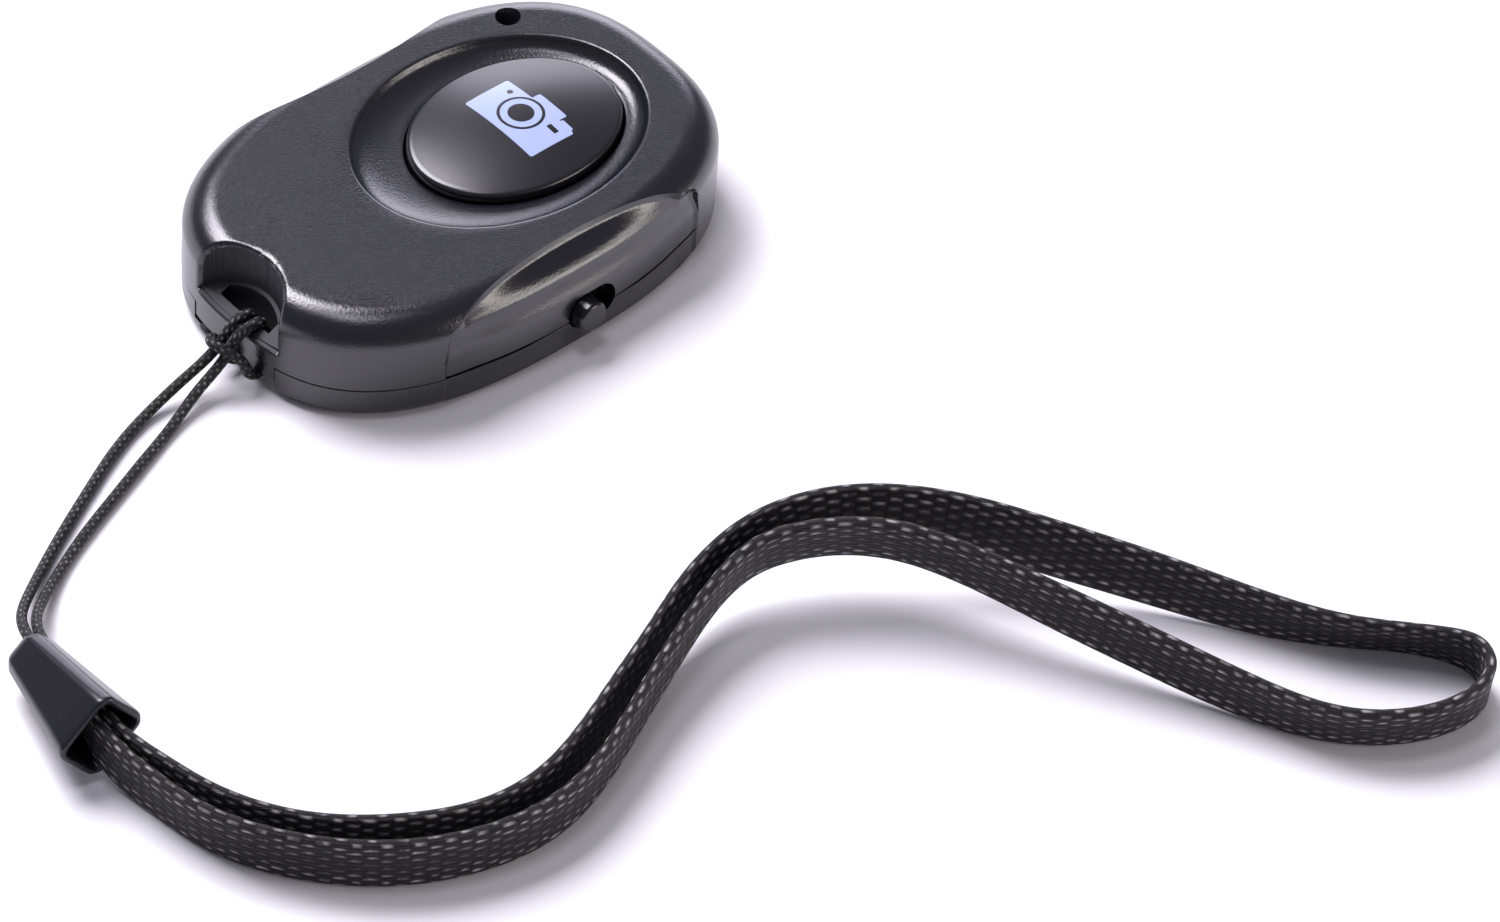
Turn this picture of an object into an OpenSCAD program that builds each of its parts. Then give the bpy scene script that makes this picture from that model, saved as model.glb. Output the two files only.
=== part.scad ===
// Bluetooth camera shutter remote with its wrist strap, in millimetres.
// +Z is up, +Y runs from the lanyard end to the lamp end, +X points to the power switch.
// The remote stands on z = 0; its cord and strap lie on the same surface.

/* [Case] */
// Length of the case along Y
case_length = 52; // [50:0.5:58]
// Width of the case along X
case_width = 35.4; // [34:0.2:38]
// Power of the oval outline, where 2 is an ellipse
oval_power = 2.67; // [2.5:0.01:2.9]
// Height of the parting line between the two shells
parting_height = 3.6; // [3.4:0.1:3.8]
// Wall of the top shell
case_wall = 1.8; // [1.6:0.05:1.9]
// Radius of the rolled top edge
roll_radius = 3.1; // [2.6:0.1:3.4]
// Radius of the bottom edge
base_radius = 1.4; // [1:0.1:1.8]
// Thickness of the floor of the back cover
floor_thick = 1.4; // [1:0.1:1.6]

/* [Button] */
// Place of the button's centre along Y
button_y = 7.5; // [7:0.1:8]
// Half width of the button opening
button_half_x = 8.6; // [8:0.1:9]
// Half length of the button opening
button_half_y = 11.2; // [10.6:0.1:11.6]
// Gap round the button
button_gap = 0.2; // [0.15:0.01:0.3]
// Height of the button's edge above the rim of its opening
button_proud = 1.0; // [0.6:0.1:1.4]
// Rise of the dome from the button's edge to its middle
dome_rise = 0.9; // [0.5:0.1:1.2]
// Travel of the button
button_travel = 0.3; // [0.2:0.05:0.35]
// Half width of the dished surround
dish_half_x = 11.7; // [11.2:0.1:12]
// Half length of the dished surround
dish_half_y = 14.9; // [14.5:0.1:15.2]
// Place of the dished surround's centre along Y
dish_y = 5.6; // [5.3:0.1:5.9]
// Depth of the dished surround at the button opening
dish_depth = 1.45; // [1.2:0.05:1.6]
// Free height between the board and the button's flange, beyond the travel
button_room = 0.45; // [0.35:0.05:0.7]

/* [Side grips] */
// Radius of the arc that cuts each grip into the flat top
grip_radius = 57; // [54:0.5:60]
// Distance of that arc from the centre line, at its middle
grip_reach = 14.4; // [14.2:0.1:14.6]
// Place of the grip's middle along Y
grip_y = 1; // [0.6:0.1:1.4]
// Half length of the grip along the side wall
grip_half = 15.6; // [15:0.1:16]
// Depth of the grip below the side wall, at its ends and its foot
grip_depth = 0.55; // [0.4:0.05:0.7]
// Drop from the flat top at the arc
grip_drop = 0.45; // [0.3:0.05:0.6]

/* [Power switch] */
// Place of the knob along Y at rest, in the off position
knob_y = 0.9; // [0.5:0.1:1.5]
// Height of the knob's middle
knob_height = 4.1; // [4:0.1:4.2]
// Radius of the knob
knob_radius = 1.6; // [1.4:0.05:1.65]
// Travel of the knob towards +Y
knob_travel = 2; // [1.6:0.1:2.4]
// How far the knob stands out of the grip wall
knob_proud = 1.4; // [1:0.1:1.6]

/* [Lanyard eye] */
// Radius of the scoop in the top shell
scoop_radius = 6.1; // [5.9:0.1:6.3]
// Distance of the scoop's axis outside the end of the case
scoop_out = 2.2; // [2:0.1:2.4]
// Height of the ledge inside the scoop, at the end of the case
ledge_height = 5.4; // [5.2:0.1:5.6]
// Rise of the ledge towards the middle of the case, in degrees
ledge_lean = 22; // [15:1:25]
// Thickness of the bar that the cord is hitched to
bar_thick = 1.1; // [0.9:0.05:1.2]
// Height of the bar's lower edge above the table
bar_bottom = 1.9; // [1.8:0.1:2.1]

/* [Inside] */
// Free height between the floor and the cell's clip
cell_room = 0.83; // [0.6:0.05:1]
// Thickness of the board
board_thick = 0.8; // [0.6:0.1:0.9]
// Diameter of the coin cell
cell_diameter = 20; // [19:0.5:20.5]
// Thickness of the coin cell
cell_thick = 3.2; // [2.4:0.1:3.3]

/* [Cord and strap] */
// Diameter of the lanyard cord
cord_diameter = 1; // [0.8:0.05:1.1]
// Width of the wrist strap
strap_width = 6; // [5:0.1:6]
// Thickness of the wrist strap
strap_thick = 1; // [0.7:0.05:1.1]
// Length of the clasp
clasp_length = 13.8; // [13:0.1:15]

/* [Hidden] */
$fn = 64;

// Fits and overruns that several pieces share
overrun = 1;
face_gap = 0.02;
part_gap = 0.1;
seam_gap = 0.1;
oval_steps = 64;
button_steps = 56;

// Heights, stacked from the floor: clip, cell, contact, board, button, top shell
clip_thick = 0.3;
contact_thick = 0.15;
board_height = floor_thick + cell_room + clip_thick + face_gap + cell_thick + contact_thick;
board_top = board_height + board_thick;
flange_thick = 0.8;
ceiling_wall = 1.4;
flange_top = board_top + button_travel + button_room + flange_thick;
ceiling_low = flange_top + part_gap;
opening_edge = ceiling_low + ceiling_wall;
case_height = opening_edge + dish_depth;
top_wall = 1.7;
ceiling_high = case_height - top_wall;
ceiling_slope = 2.3;
ceiling_foot = ceiling_high - ceiling_slope;

// Outline of the case
half_w = case_width / 2;
half_l = case_length / 2;
cavity_inset = case_wall;
ceiling_inset = cavity_inset + ceiling_slope + part_gap;
wall_top = case_height - roll_radius;
opening_round = 0.2;

// Back cover
cover_top = parting_height - seam_gap;
rim_gap = 0.15;
rim_wall = 0.9;
rim_height = 1.2;
rim_inset = cavity_inset + rim_gap;
snap_bump = 0.12;
snap_length = 5;
snap_place_share = [[1, -0.25], [-1, -0.25], [-1, 0.3]];

// Lanyard eye
scoop_y = -half_l - scoop_out;
scoop_wall = 1.2;
eye_back = 0.35;
eye_half = 3.4;
bar_left = -6;
bar_right = 5.2;
bar_gap = 0.15;
bar_set = 0.12;
bar_sag = half_l * (1 - pow(1 - pow(abs(bar_left) / half_w, oval_power), 1 / oval_power));
bar_curve = (pow(bar_left, 2) + pow(bar_sag, 2)) / (2 * bar_sag);
notch_left = -2.8;
pry_high = 0.35;
pry_top = bar_bottom - pry_high;
pry_deep = 2;

// Button
skirt_half_x = button_half_x - button_gap;
skirt_half_y = button_half_y - button_gap;
button_edge = opening_edge + button_proud;
button_edge_round = 0.45;
flange_out = 0.7;
button_wall = 1.2;
post_radius = 1.7;
rib_thick = 0.8;
rib_drop = 0.6;

// Board
board_gap = 0.4;
board_inset = cavity_inset + board_gap;
board_end = scoop_y + scoop_radius + scoop_wall + 2 * board_gap;
boss_radius = 1.9;
screw_hole = 0.7;
screw_side = 7.1;
screw_x = half_w - screw_side;
screw_set = 7.2;
screw_y = board_end + screw_set;
locator_radius = 1;
locator_x = 6.3;
locator_end = 4.8;
locator_y = half_l - locator_end;

// Tact switch under the button
tact_size = 6;
tact_height = 1.3;
tact_lid = 0.2;
tact_floor = 0.3;
tact_well_radius = 2.3;
plunger_radius = 1.7;
plunger_foot_radius = 2;
plunger_foot = 0.3;
plunger_hole_gap = 0.08;
plunger_reach = 0.7;
dome_thick = 0.1;
dome_high = 0.3;
tact_top = board_top + tact_height + tact_lid;
plunger_top = tact_top + plunger_reach;
leg_width = 0.7;
leg_thick = 0.2;
leg_out = 1;
leg_spread = 4.5;

// Lamp
lamp_side = 5.5;
lamp_end = 8.8;
lamp_x = -half_w + lamp_side;
lamp_y = half_l - lamp_end;
lamp_hole_radius = 1.2;
lamp_lean = 26;
lamp_turn = 135;
led_set_x = 1.8;
led_set_y = 1.3;
led_x = lamp_x + led_set_x;
led_y = lamp_y - led_set_y;
led_long = 2;
led_wide = 1.25;
led_base = 0.35;
led_dome_radius = 0.55;

// Power switch
switch_long = 8.4;
switch_deep = 3.1;
switch_sheet = 0.25;
switch_out = half_w - board_inset;
switch_in = switch_out - switch_deep;
switch_mid = knob_y + knob_travel / 2;
switch_below = 1.45;
switch_bottom = knob_height - switch_below;
slider_half = 1.15;
slider_long = 3.4;
slider_play = 0.05;
slot_gap = 0.25;
pin_wide = 0.5;
pin_apart = 2.5;
pin_deep = 0.5;
grip_bulge_share = 0.8;
wall_face = half_w - grip_depth * (1 - grip_bulge_share);
knob_tip = wall_face + knob_proud;
knob_edge = 0.35;

// Coin cell and its clip
cell_x = -1.6;
cell_y = 2.6;
cell_top = board_height - contact_thick;
cell_bottom = cell_top - cell_thick;
can_wall = 0.25;
gasket_wall = 0.4;
cap_set = 1.1;
cap_radius = cell_diameter / 2 - cap_set;
cap_proud = 0.45;
can_high = cell_thick - cap_proud;
clip_wide = 7;
clip_foot = 2;
clip_gap = 0.12;
contact_radius = 6;

// Clasp, laid along its own axis from the narrow end to the mouth
clasp_start = [18.9, -65.3, 3.3];
clasp_turn = -10.4;
clasp_tilt = -6.1;
clasp_roll = -48;
clasp_wall = 0.8;
mouth_u = 5.8;
mouth_v = 7.2;
narrow_u = 3.5;
narrow_v = 4.2;
clasp_bevel = 0.75;
clasp_end_round = 0.7;
clasp_round_share = 0.3;
hollow_start = clasp_length / 5;
knot_radius = 1.1;
knot_steps = 6;

// The cord is one loop: out of the clasp, hitched round the bar of the case, and back.
cord_route = [
    [20.5, -64.9, 3.7], [18, -64.2, 3.4], [15.8, -63.2, 2.9], [12.6, -60, 1.6], [9.7, -55.8, 0.7],
    [7.2, -51.4, 0.6], [4.6, -46.4, 0.6], [2, -41, 0.6], [0.4, -36, 0.8],
    [0.1, -31.4, 2.2], [0.3, -28.2, 4], [0.4, -27, 5.4], [0.5, -25.9, 6.3], [0.6, -24.5, 6.2],
    [0.6, -24.2, 4.2], [0.5, -24.2, 2.4], [0.5, -25, 1.2], [0.1, -26.4, 1.5], [-0.6, -27, 3],
    [-0.6, -28, 4.4], [0.5, -28.8, 5], [1.8, -28.2, 4.6], [2.8, -27.1, 3.2],
    [3, -26.4, 1.6], [2.8, -25, 1.2], [2.4, -24.2, 2.4], [2.1, -24.2, 4.2], [2, -24.5, 6.2],
    [1.9, -25.9, 6.3], [1.6, -27, 5.2], [1.5, -28.2, 3.6], [1.7, -31.2, 1.8],
    [2.9, -35.2, 0.7], [4.8, -40.2, 0.6], [6.9, -45.6, 0.6], [9, -50.8, 0.6], [11.2, -55.3, 0.7],
    [13.8, -59.3, 1.6], [16.6, -62.2, 2.9], [18.3, -63.2, 3.4], [20.5, -63.9, 3.7]];
cord_sides = 8;

// The strap leaves the clasp as two legs that stand on edge side by side and meet in one bend.
// Each point has its place and, last, the strap's lean from upright in degrees. Inside the
// clasp the braid is gathered to a share of its width.
strap_route = [
    [29, -67.1, 4.6, 0], [31.4, -67.6, 4.2, 0], [34.4, -67.7, 3.4, 4], [39.4, -67.3, 3, 8],
    [44.4, -66.6, 3, 8], [52.8, -62.5, 3, 6], [58.8, -56.3, 3, 6], [62.4, -48.3, 3, 6],
    [63, -42.3, 3, 6], [61.4, -35.4, 3.1, 6], [58.1, -27.8, 3.6, 5], [55.3, -21.2, 4.4, 6],
    [53.7, -16.8, 5.2, 8], [53.1, -9.4, 6.9, 14], [54.6, -6.3, 7.6, 16], [60.4, 0.2, 8, 14],
    [64.4, 2.7, 7.5, 12], [73.1, 6.8, 6, 6], [82, 10.8, 4.4, 4], [91, 14.7, 3.2, 8],
    [99, 19.3, 3, 18], [101.7, 22.6, 3, 18], [103.6, 29.4, 3, 12], [102.6, 32.4, 3, 4],
    [100, 33.9, 3, -10], [97, 33, 2.9, -20], [90.4, 27.6, 2.8, -22], [82.8, 22.2, 3.1, -6],
    [75, 17.4, 4, 4], [67.6, 12, 5.5, 8], [64, 9.2, 6.3, 10], [57.6, 2.8, 7.6, 14],
    [54.9, -0.7, 7.7, 14], [51.4, -8.4, 6.6, 12], [51, -12.2, 5.8, 8], [51.9, -17.5, 4.8, 6],
    [53.6, -22.4, 4, 4], [56.1, -29.2, 3.3, 2], [58.6, -35.6, 3, 2], [60.2, -41, 3, 4],
    [60.2, -46.6, 3, 4], [56.6, -54.9, 3, 4], [50.9, -61.2, 3, 4], [43.2, -65, 3, 4],
    [38.8, -65.8, 3, 2], [34.2, -66.4, 3.4, 0], [31.2, -66.4, 4.2, 0], [28.8, -65.9, 4.6, 0]];

function signed_pow(v, p) = sign(v) * pow(abs(v), p);

// Point of an oval of half axes a and b at the angle t.
function oval_point(t, a, b, power) =
    [a * signed_pow(cos(t), 2 / power), b * signed_pow(sin(t), 2 / power)];

// Ring of points round the case at one height, drawn in from the outline by inset.
function case_ring(inset, z, steps = oval_steps) =
    [for (i = [0:steps - 1])
        let (p = oval_point(360 * (i + 0.5) / steps, half_w - inset, half_l - inset, oval_power))
            [p.x, p.y, z]];

// Elliptical ring of half axes a and b, centred at y.
function ellipse_ring(a, b, y, z, steps = oval_steps) =
    [for (i = [0:steps - 1]) let (t = 360 * (i + 0.5) / steps) [a * cos(t), y + b * sin(t), z]];

// Half width of the case at a place along Y.
function width_at(y, inset = 0) =
    (half_w - inset) * pow(max(0, 1 - pow(min(1, abs(y) / (half_l - inset)), oval_power)), 1 / oval_power);

// Height of the outer top surface at an inset from the outline.
function roll_height(inset) =
    inset >= roll_radius ? case_height
    : wall_top + sqrt(max(0, pow(roll_radius, 2) - pow(roll_radius - max(0, inset), 2)));

// Closed solid through a list of rings of equal count. A looped one joins its last ring to its
// first. Its faces are turned to look outwards, whichever way the rings run.
function sum_of(v) = v * [for (x = v) 1];
module loft(rings, looped = false) {
    n = len(rings[0]);
    m = len(rings);
    last = looped ? m - 1 : m - 2;
    points = [for (r = rings) each r];
    sides = [for (j = [0:last], i = [0:n - 1])
        let (k = (i + 1) % n, up = ((j + 1) % m) * n)
            each [[j * n + i, j * n + k, up + k], [j * n + i, up + k, up + i]]];
    ends = looped ? [] : [[for (i = [n - 1:-1:0]) i], [for (i = [0:n - 1]) (m - 1) * n + i]];
    fans = [for (e = ends, i = [1:n - 2]) [e[0], e[i], e[i + 1]]];
    outward = sum_of([for (f = concat(sides, fans)) points[f[0]] * cross(points[f[1]], points[f[2]])]) > 0;
    polyhedron(points = points, faces = [for (f = concat(sides, ends))
        outward ? [for (k = [len(f) - 1:-1:0]) f[k]] : f]);
}

// Flat plate with the case's outline.
module case_plate(inset, low, high) {
    translate([0, 0, low]) linear_extrude(high - low)
        polygon([for (p = case_ring(inset, 0)) [p.x, p.y]]);
}

// The scalloped side grip as a cutter: one section for each place along Y. It follows the arc
// on the flat top, slopes out to a shoulder and goes down the side wall, which bulges back out
// in the middle of the grip. The last section at each end runs out into the wall.
grip_stations = 34;
grip_corner = 1.6;
shoulder_share = [0, 0.2, 0.5, 0.8, 1];
shoulder_sag_share = 0.055;
shoulder_in = 1.15;
shoulder_rise = 0.75;
shoulder_edge = 0.35;
shoulder_edge_share = 0.8;
grip_wall_set = 0.4;
grip_wall_top = wall_top - grip_wall_set;
grip_wall_share = [1, 0.5, 0, -0.5, -1];
grip_clear = 4;
function grip_arc(y) = grip_reach + grip_radius - sqrt(pow(grip_radius, 2) - pow(y - grip_y, 2));
function grip_fade(y) =
    sqrt(max(0, 1 - pow(max(0, (abs(y - grip_y) - grip_half) / grip_corner + 1), 2)));
function grip_section(y) =
    let (edge = width_at(y), fade = grip_fade(y), along = pow((y - grip_y) / grip_half, 2),
         most = edge + part_gap - (grip_depth + part_gap) * fade,
         arc = min(grip_arc(y), most - 3 * face_gap),
         arc_z = roll_height(edge - arc) - grip_drop,
         shoulder_x = min(max(edge - shoulder_in, arc + face_gap), most - 2 * face_gap),
         shoulder_z = min(wall_top + shoulder_rise, arc_z - part_gap),
         low_x = min(max(edge - shoulder_edge_share * shoulder_in, shoulder_x + face_gap), most - face_gap),
         low_z = min(wall_top + shoulder_edge, shoulder_z - part_gap),
         wall_z = min(grip_wall_top, low_z - part_gap),
         bulge = face_gap + grip_depth * fade * grip_bulge_share * (1 - along),
         far_x = edge + grip_clear)
    concat([[arc, case_height + grip_clear]],
        [for (s = shoulder_share) [arc + s * (shoulder_x - arc),
            arc_z + s * (shoulder_z - arc_z) - 4 * s * (1 - s) * shoulder_sag_share * (shoulder_x - arc)]],
        [[low_x, low_z]],
        [for (h = grip_wall_share) [most + bulge * (1 - pow(h, 2)), wall_z * (1 + h) / 2]],
        [[most, -grip_clear], [far_x, -grip_clear], [far_x, case_height + grip_clear]]);
module grip_cut(side) {
    mirror([side < 0 ? 1 : 0, 0, 0])
        loft([for (k = [0:grip_stations]) let (y = grip_y + grip_half * (2 * k / grip_stations - 1))
            [for (p = grip_section(y)) [p.x, y, p.y]]]);
}

// Stadium-shaped slot for the knob, through the side wall.
module knob_slot() {
    slot_radius = knob_radius + slot_gap;
    hull() for (y = [knob_y, knob_y + knob_travel])
        translate([switch_out, y, knob_height]) rotate([0, 90, 0])
            cylinder(r = slot_radius, h = 2 * grip_clear, $fn = 32);
}

// Hole for the status lamp, square to the rolled edge.
module lamp_hole() {
    translate([lamp_x, lamp_y, roll_height(roll_radius / 2)])
        rotate([0, 0, lamp_turn]) rotate([0, lamp_lean, 0])
            translate([0, 0, -ceiling_wall * 3]) cylinder(r = lamp_hole_radius, h = ceiling_wall * 5);
}

// Top shell, one looped loft: up the button opening, over the dished surround, the flat top and
// the rolled edge, down the wall and back inside.
dish_share = [0.2, 0.45, 0.7, 0.9];
roll_angles = [68, 46, 23, 0];
module shell_loft() {
    dish = [for (s = dish_share)
        ellipse_ring(button_half_x + opening_round + s * (dish_half_x - button_half_x - opening_round),
            button_half_y + opening_round + s * (dish_half_y - button_half_y - opening_round),
            button_y + s * (dish_y - button_y),
            opening_edge + dish_depth * (1 - pow(1 - pow(s, 2), 0.5)))];
    roll = [for (t = roll_angles) case_ring(roll_radius * (1 - cos(t)), wall_top + roll_radius * sin(t))];
    loft(concat(
        [ellipse_ring(button_half_x, button_half_y, button_y, ceiling_low)],
        [ellipse_ring(button_half_x, button_half_y, button_y, opening_edge - opening_round)],
        [ellipse_ring(button_half_x + opening_round, button_half_y + opening_round, button_y, opening_edge)],
        dish,
        [ellipse_ring(dish_half_x, dish_half_y, dish_y, case_height)],
        [case_ring(roll_radius, case_height)],
        roll,
        [case_ring(0, parting_height)],
        [case_ring(cavity_inset, parting_height)],
        [case_ring(cavity_inset, ceiling_foot)],
        [case_ring(ceiling_inset, ceiling_high)],
        [ellipse_ring(dish_half_x, dish_half_y, dish_y, ceiling_high)],
        [ellipse_ring(button_half_x + ceiling_wall, button_half_y + ceiling_wall, button_y, ceiling_low)]),
        looped = true);
}

module scoop_axis(radius, low, high) {
    translate([0, scoop_y, low]) cylinder(r = radius, h = high - low);
}

// The scoop itself, with its floor rising from the ledge at the end of the case
module scoop_cut() {
    intersection() {
        scoop_axis(scoop_radius, bar_bottom, case_height + overrun);
        translate([-scoop_radius, -half_l, ledge_height]) rotate([ledge_lean, 0, 0])
            translate([0, -scoop_radius, 0]) cube([2 * scoop_radius, 3 * scoop_radius, case_height]);
    }
}

// Bar at the end of the case, curved as the end is and set back a little from it
module lanyard_bar() {
    centre = -half_l + bar_set + bar_curve;
    high = ledge_height - bar_bottom;
    intersection() {
        translate([0, centre, bar_bottom]) difference() {
            cylinder(r = bar_curve, h = high, $fn = 256);
            translate([0, 0, -overrun]) cylinder(r = bar_curve - bar_thick, h = high + 2 * overrun, $fn = 256);
        }
        translate([bar_left, -half_l, bar_bottom]) cube([bar_right - bar_left, half_l / 2, high]);
    }
}

module top_case() {
    color([0.13, 0.13, 0.16]) difference() {
        union() {
            shell_loft();
            // Wall and ledge of the lanyard scoop
            intersection() {
                scoop_axis(scoop_radius + scoop_wall, parting_height, ceiling_high);
                case_plate(case_wall / 3, parting_height, ceiling_high);
            }
            // Lower part of the bar, in front of the eye
            lanyard_bar();
            for (s = [-1, 1]) {
                translate([s * screw_x, screw_y, board_top + face_gap])
                    cylinder(r = boss_radius, h = ceiling_high + part_gap - board_top, $fn = 32);
                translate([s * locator_x, locator_y, board_top + face_gap])
                    cylinder(r = locator_radius, h = ceiling_high - board_top, $fn = 24);
            }
        }
        for (s = [-1, 1]) {
            grip_cut(s);
            translate([s * screw_x, screw_y, board_height])
                cylinder(r = screw_hole, h = ceiling_high - board_height - part_gap, $fn = 24);
        }
        scoop_cut();
        // Eye behind the bar, through the ledge
        intersection() {
            scoop_axis(scoop_radius - eye_back, -overrun, ceiling_high);
            translate([-eye_half, -half_l + bar_set + bar_thick, -overrun])
                cube([2 * eye_half, scoop_radius, ceiling_high]);
        }
        knob_slot();
        lamp_hole();
    }
}

base_angles = [75, 50, 25, 0];
base_flat_share = 0.95;
module cover_loft() {
    base = [for (t = base_angles)
        case_ring(seam_gap / 2 + base_radius * (1 - cos(t)), base_radius * (1 - sin(t)))];
    loft(concat(
        [case_ring(seam_gap / 2 + base_radius * base_flat_share, 0)],
        base,
        [case_ring(seam_gap / 2, cover_top)],
        [case_ring(rim_inset, cover_top)],
        [case_ring(rim_inset, cover_top + rim_height)],
        [case_ring(rim_inset + rim_wall, cover_top + rim_height)],
        [case_ring(rim_inset + rim_wall, floor_thick)]));
}

module back_cover() {
    color([0.12, 0.12, 0.15]) difference() {
        union() {
            cover_loft();
            // Snap bumps on the rim
            for (s = snap_place_share) let (y = s[1] * half_l)
                translate([s[0] * (width_at(y, rim_inset) - rim_wall / 2), y, cover_top + rim_height / 2])
                    rotate([90, 0, 0])
                        cylinder(r = rim_wall / 2 + snap_bump, h = snap_length, center = true, $fn = 24);
        }
        for (s = [-1, 1])
            grip_cut(s);
        // Room for the scoop wall and the eye
        scoop_axis(scoop_radius + scoop_wall + part_gap, parting_height - seam_gap, case_height);
        scoop_axis(scoop_radius - eye_back, -overrun, case_height);
        knob_slot();
        // Room for the power switch inside the rim
        translate([switch_in - pin_deep - part_gap, switch_mid - switch_long / 2 - part_gap,
                   switch_bottom - switch_sheet - part_gap])
            cube([half_w - rim_inset + 2 * part_gap - switch_in + pin_deep,
                  switch_long + 2 * part_gap, case_height]);
        // Room for the lower part of the bar, with the pry slit below it
        translate([bar_left - bar_gap, -half_l - overrun, pry_top - part_gap])
            cube([bar_right - bar_left + 2 * bar_gap, overrun + pry_deep, case_height]);
        // Notch that the hitched cord hangs in
        translate([notch_left, -half_l - overrun, -overrun])
            cube([bar_right + bar_gap - notch_left, overrun + pry_deep, case_height]);
    }
}

edge_share = [[0, 1], [0.3, 0.25], [1, 0]];
dome_share = [0.8, 0.55, 0.25, 0.02];
module shutter_button() {
    function ring(inset, z, share = 1) =
        ellipse_ring((skirt_half_x - inset) * share, (skirt_half_y - inset) * share, button_y, z, button_steps);
    flange_low = flange_top - flange_thick;
    inner_top = button_edge - button_wall;
    rib_half = skirt_half_x - button_wall / 2;
    color([0.05, 0.05, 0.06]) union() {
        loft(concat(
            [ring(button_wall, flange_low)],
            [ring(-flange_out, flange_low)],
            [ring(-flange_out, flange_top)],
            [ring(0, flange_top)],
            [for (s = edge_share) ring(button_edge_round * s[0], button_edge - button_edge_round * s[1])],
            [for (s = dome_share) ring(button_edge_round, button_edge + dome_rise * (1 - pow(s, 2)), s)],
            [ring(button_edge_round, inner_top, dome_share[3])],
            [ring(button_wall, inner_top)]),
            looped = true);
        translate([0, button_y, plunger_top + face_gap])
            cylinder(r = post_radius, h = button_edge + dome_rise / 2 - plunger_top);
        // Cross ribs that carry the push from the edge to the post
        for (a = [0, 90])
            translate([0, button_y, inner_top + part_gap - rib_drop]) rotate([0, 0, a])
                translate([-rib_half, -rib_thick / 2, 0]) cube([2 * rib_half, rib_thick, rib_drop]);
    }
}

module main_board() {
    color([0.05, 0.32, 0.18]) difference() {
        intersection() {
            case_plate(board_inset, board_height, board_top);
            translate([-half_w, board_end, board_height]) cube([case_width, case_length, board_thick]);
        }
        for (s = [-1, 1])
            translate([s * screw_x, screw_y, board_height - overrun])
                cylinder(r = screw_hole + part_gap, h = board_thick + 2 * overrun, $fn = 24);
    }
}

// Meandering printed antenna at the lanyard end of the board
antenna_line = 0.6;
antenna_bends = 5;
antenna_gap = 2.4;
antenna_reach = 3.2;
copper_thick = 0.05;
module antenna_trace() {
    left = -antenna_bends * antenna_gap / 2;
    low = board_end + antenna_line;
    color([0.8, 0.55, 0.3]) translate([0, low, board_top]) linear_extrude(copper_thick) union() {
        for (k = [0:antenna_bends])
            translate([left + k * antenna_gap, 0]) square([antenna_line, antenna_reach]);
        for (k = [0:antenna_bends - 1])
            translate([left + k * antenna_gap, k % 2 == 0 ? 0 : antenna_reach - antenna_line])
                square([antenna_gap + antenna_line, antenna_line]);
    }
}

chip_size = 5;
chip_high = 0.85;
chip_away = 1.7;
chip_y = board_end + antenna_line + antenna_reach + chip_away + chip_size / 2;
chip_dot = 0.3;
module bluetooth_chip() {
    color([0.1, 0.1, 0.1]) difference() {
        translate([-chip_size / 2, chip_y - chip_size / 2, board_top]) cube([chip_size, chip_size, chip_high]);
        translate([3 * chip_dot - chip_size / 2, chip_y + chip_size / 2 - 3 * chip_dot,
                   board_top + chip_high - copper_thick])
            cylinder(r = chip_dot, h = overrun, $fn = 16);
    }
}

crystal_size = [3.2, 2.5, 0.7];
crystal_away = 1.6;
crystal_y = chip_y + chip_size / 2 + crystal_away;
crystal_lid = 0.2;
module crystal() {
    color([0.75, 0.75, 0.72]) translate([-crystal_size.x / 2, crystal_y, board_top]) {
        cube([crystal_size.x, crystal_size.y, crystal_size.z - crystal_lid]);
        translate([crystal_lid, crystal_lid, 0])
            cube([crystal_size.x - 2 * crystal_lid, crystal_size.y - 2 * crystal_lid, crystal_size.z]);
    }
}

// Places of the chip capacitors and resistors, as shares of the chip's size
chip_part_long = 1;
chip_part_wide = 0.5;
chip_part_share = [[-0.78, 0.36], [-0.78, 0.08], [-0.78, -0.2], [0.78, 0.36], [0.78, 0.08],
    [0.78, -0.2], [-0.44, 0.66], [0, -0.68], [0.44, -0.68], [-0.44, -0.68]];
module chip_components() {
    color([0.72, 0.6, 0.45]) for (p = chip_part_share)
        translate([p[0] * chip_size, chip_y + p[1] * chip_size, board_top + chip_part_wide / 2])
            cube([chip_part_long, chip_part_wide, chip_part_wide], center = true);
}

screw_head_radius = 1.3;
screw_head_high = 0.7;
screw_length = 3.2;
screw_slot = 0.35;
screw_slot_share = 0.7;
module board_screws() {
    slot_half = screw_head_radius * screw_slot_share;
    color([0.75, 0.75, 0.78]) for (s = [-1, 1])
        translate([s * screw_x, screw_y, board_height]) difference() {
            union() {
                translate([0, 0, -screw_head_high])
                    cylinder(r = screw_head_radius, h = screw_head_high, $fn = 32);
                cylinder(r = screw_hole - face_gap, h = screw_length, $fn = 24);
            }
            for (a = [0, 90])
                rotate([0, 0, a]) translate([-slot_half, -screw_slot / 2, -screw_head_high - overrun])
                    cube([2 * slot_half, screw_slot, overrun + screw_head_high / 2]);
        }
}

module tact_switch_base() {
    color([0.12, 0.12, 0.12]) difference() {
        translate([-tact_size / 2, button_y - tact_size / 2, board_top])
            cube([tact_size, tact_size, tact_height]);
        translate([0, button_y, board_top + tact_floor]) cylinder(r = tact_well_radius, h = tact_height);
    }
}

module tact_switch_cover() {
    color([0.78, 0.78, 0.8]) difference() {
        translate([-tact_size / 2, button_y - tact_size / 2, board_top + tact_height])
            cube([tact_size, tact_size, tact_lid]);
        translate([0, button_y, board_top])
            cylinder(r = plunger_radius + plunger_hole_gap, h = tact_height + 2 * overrun);
    }
}

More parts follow.
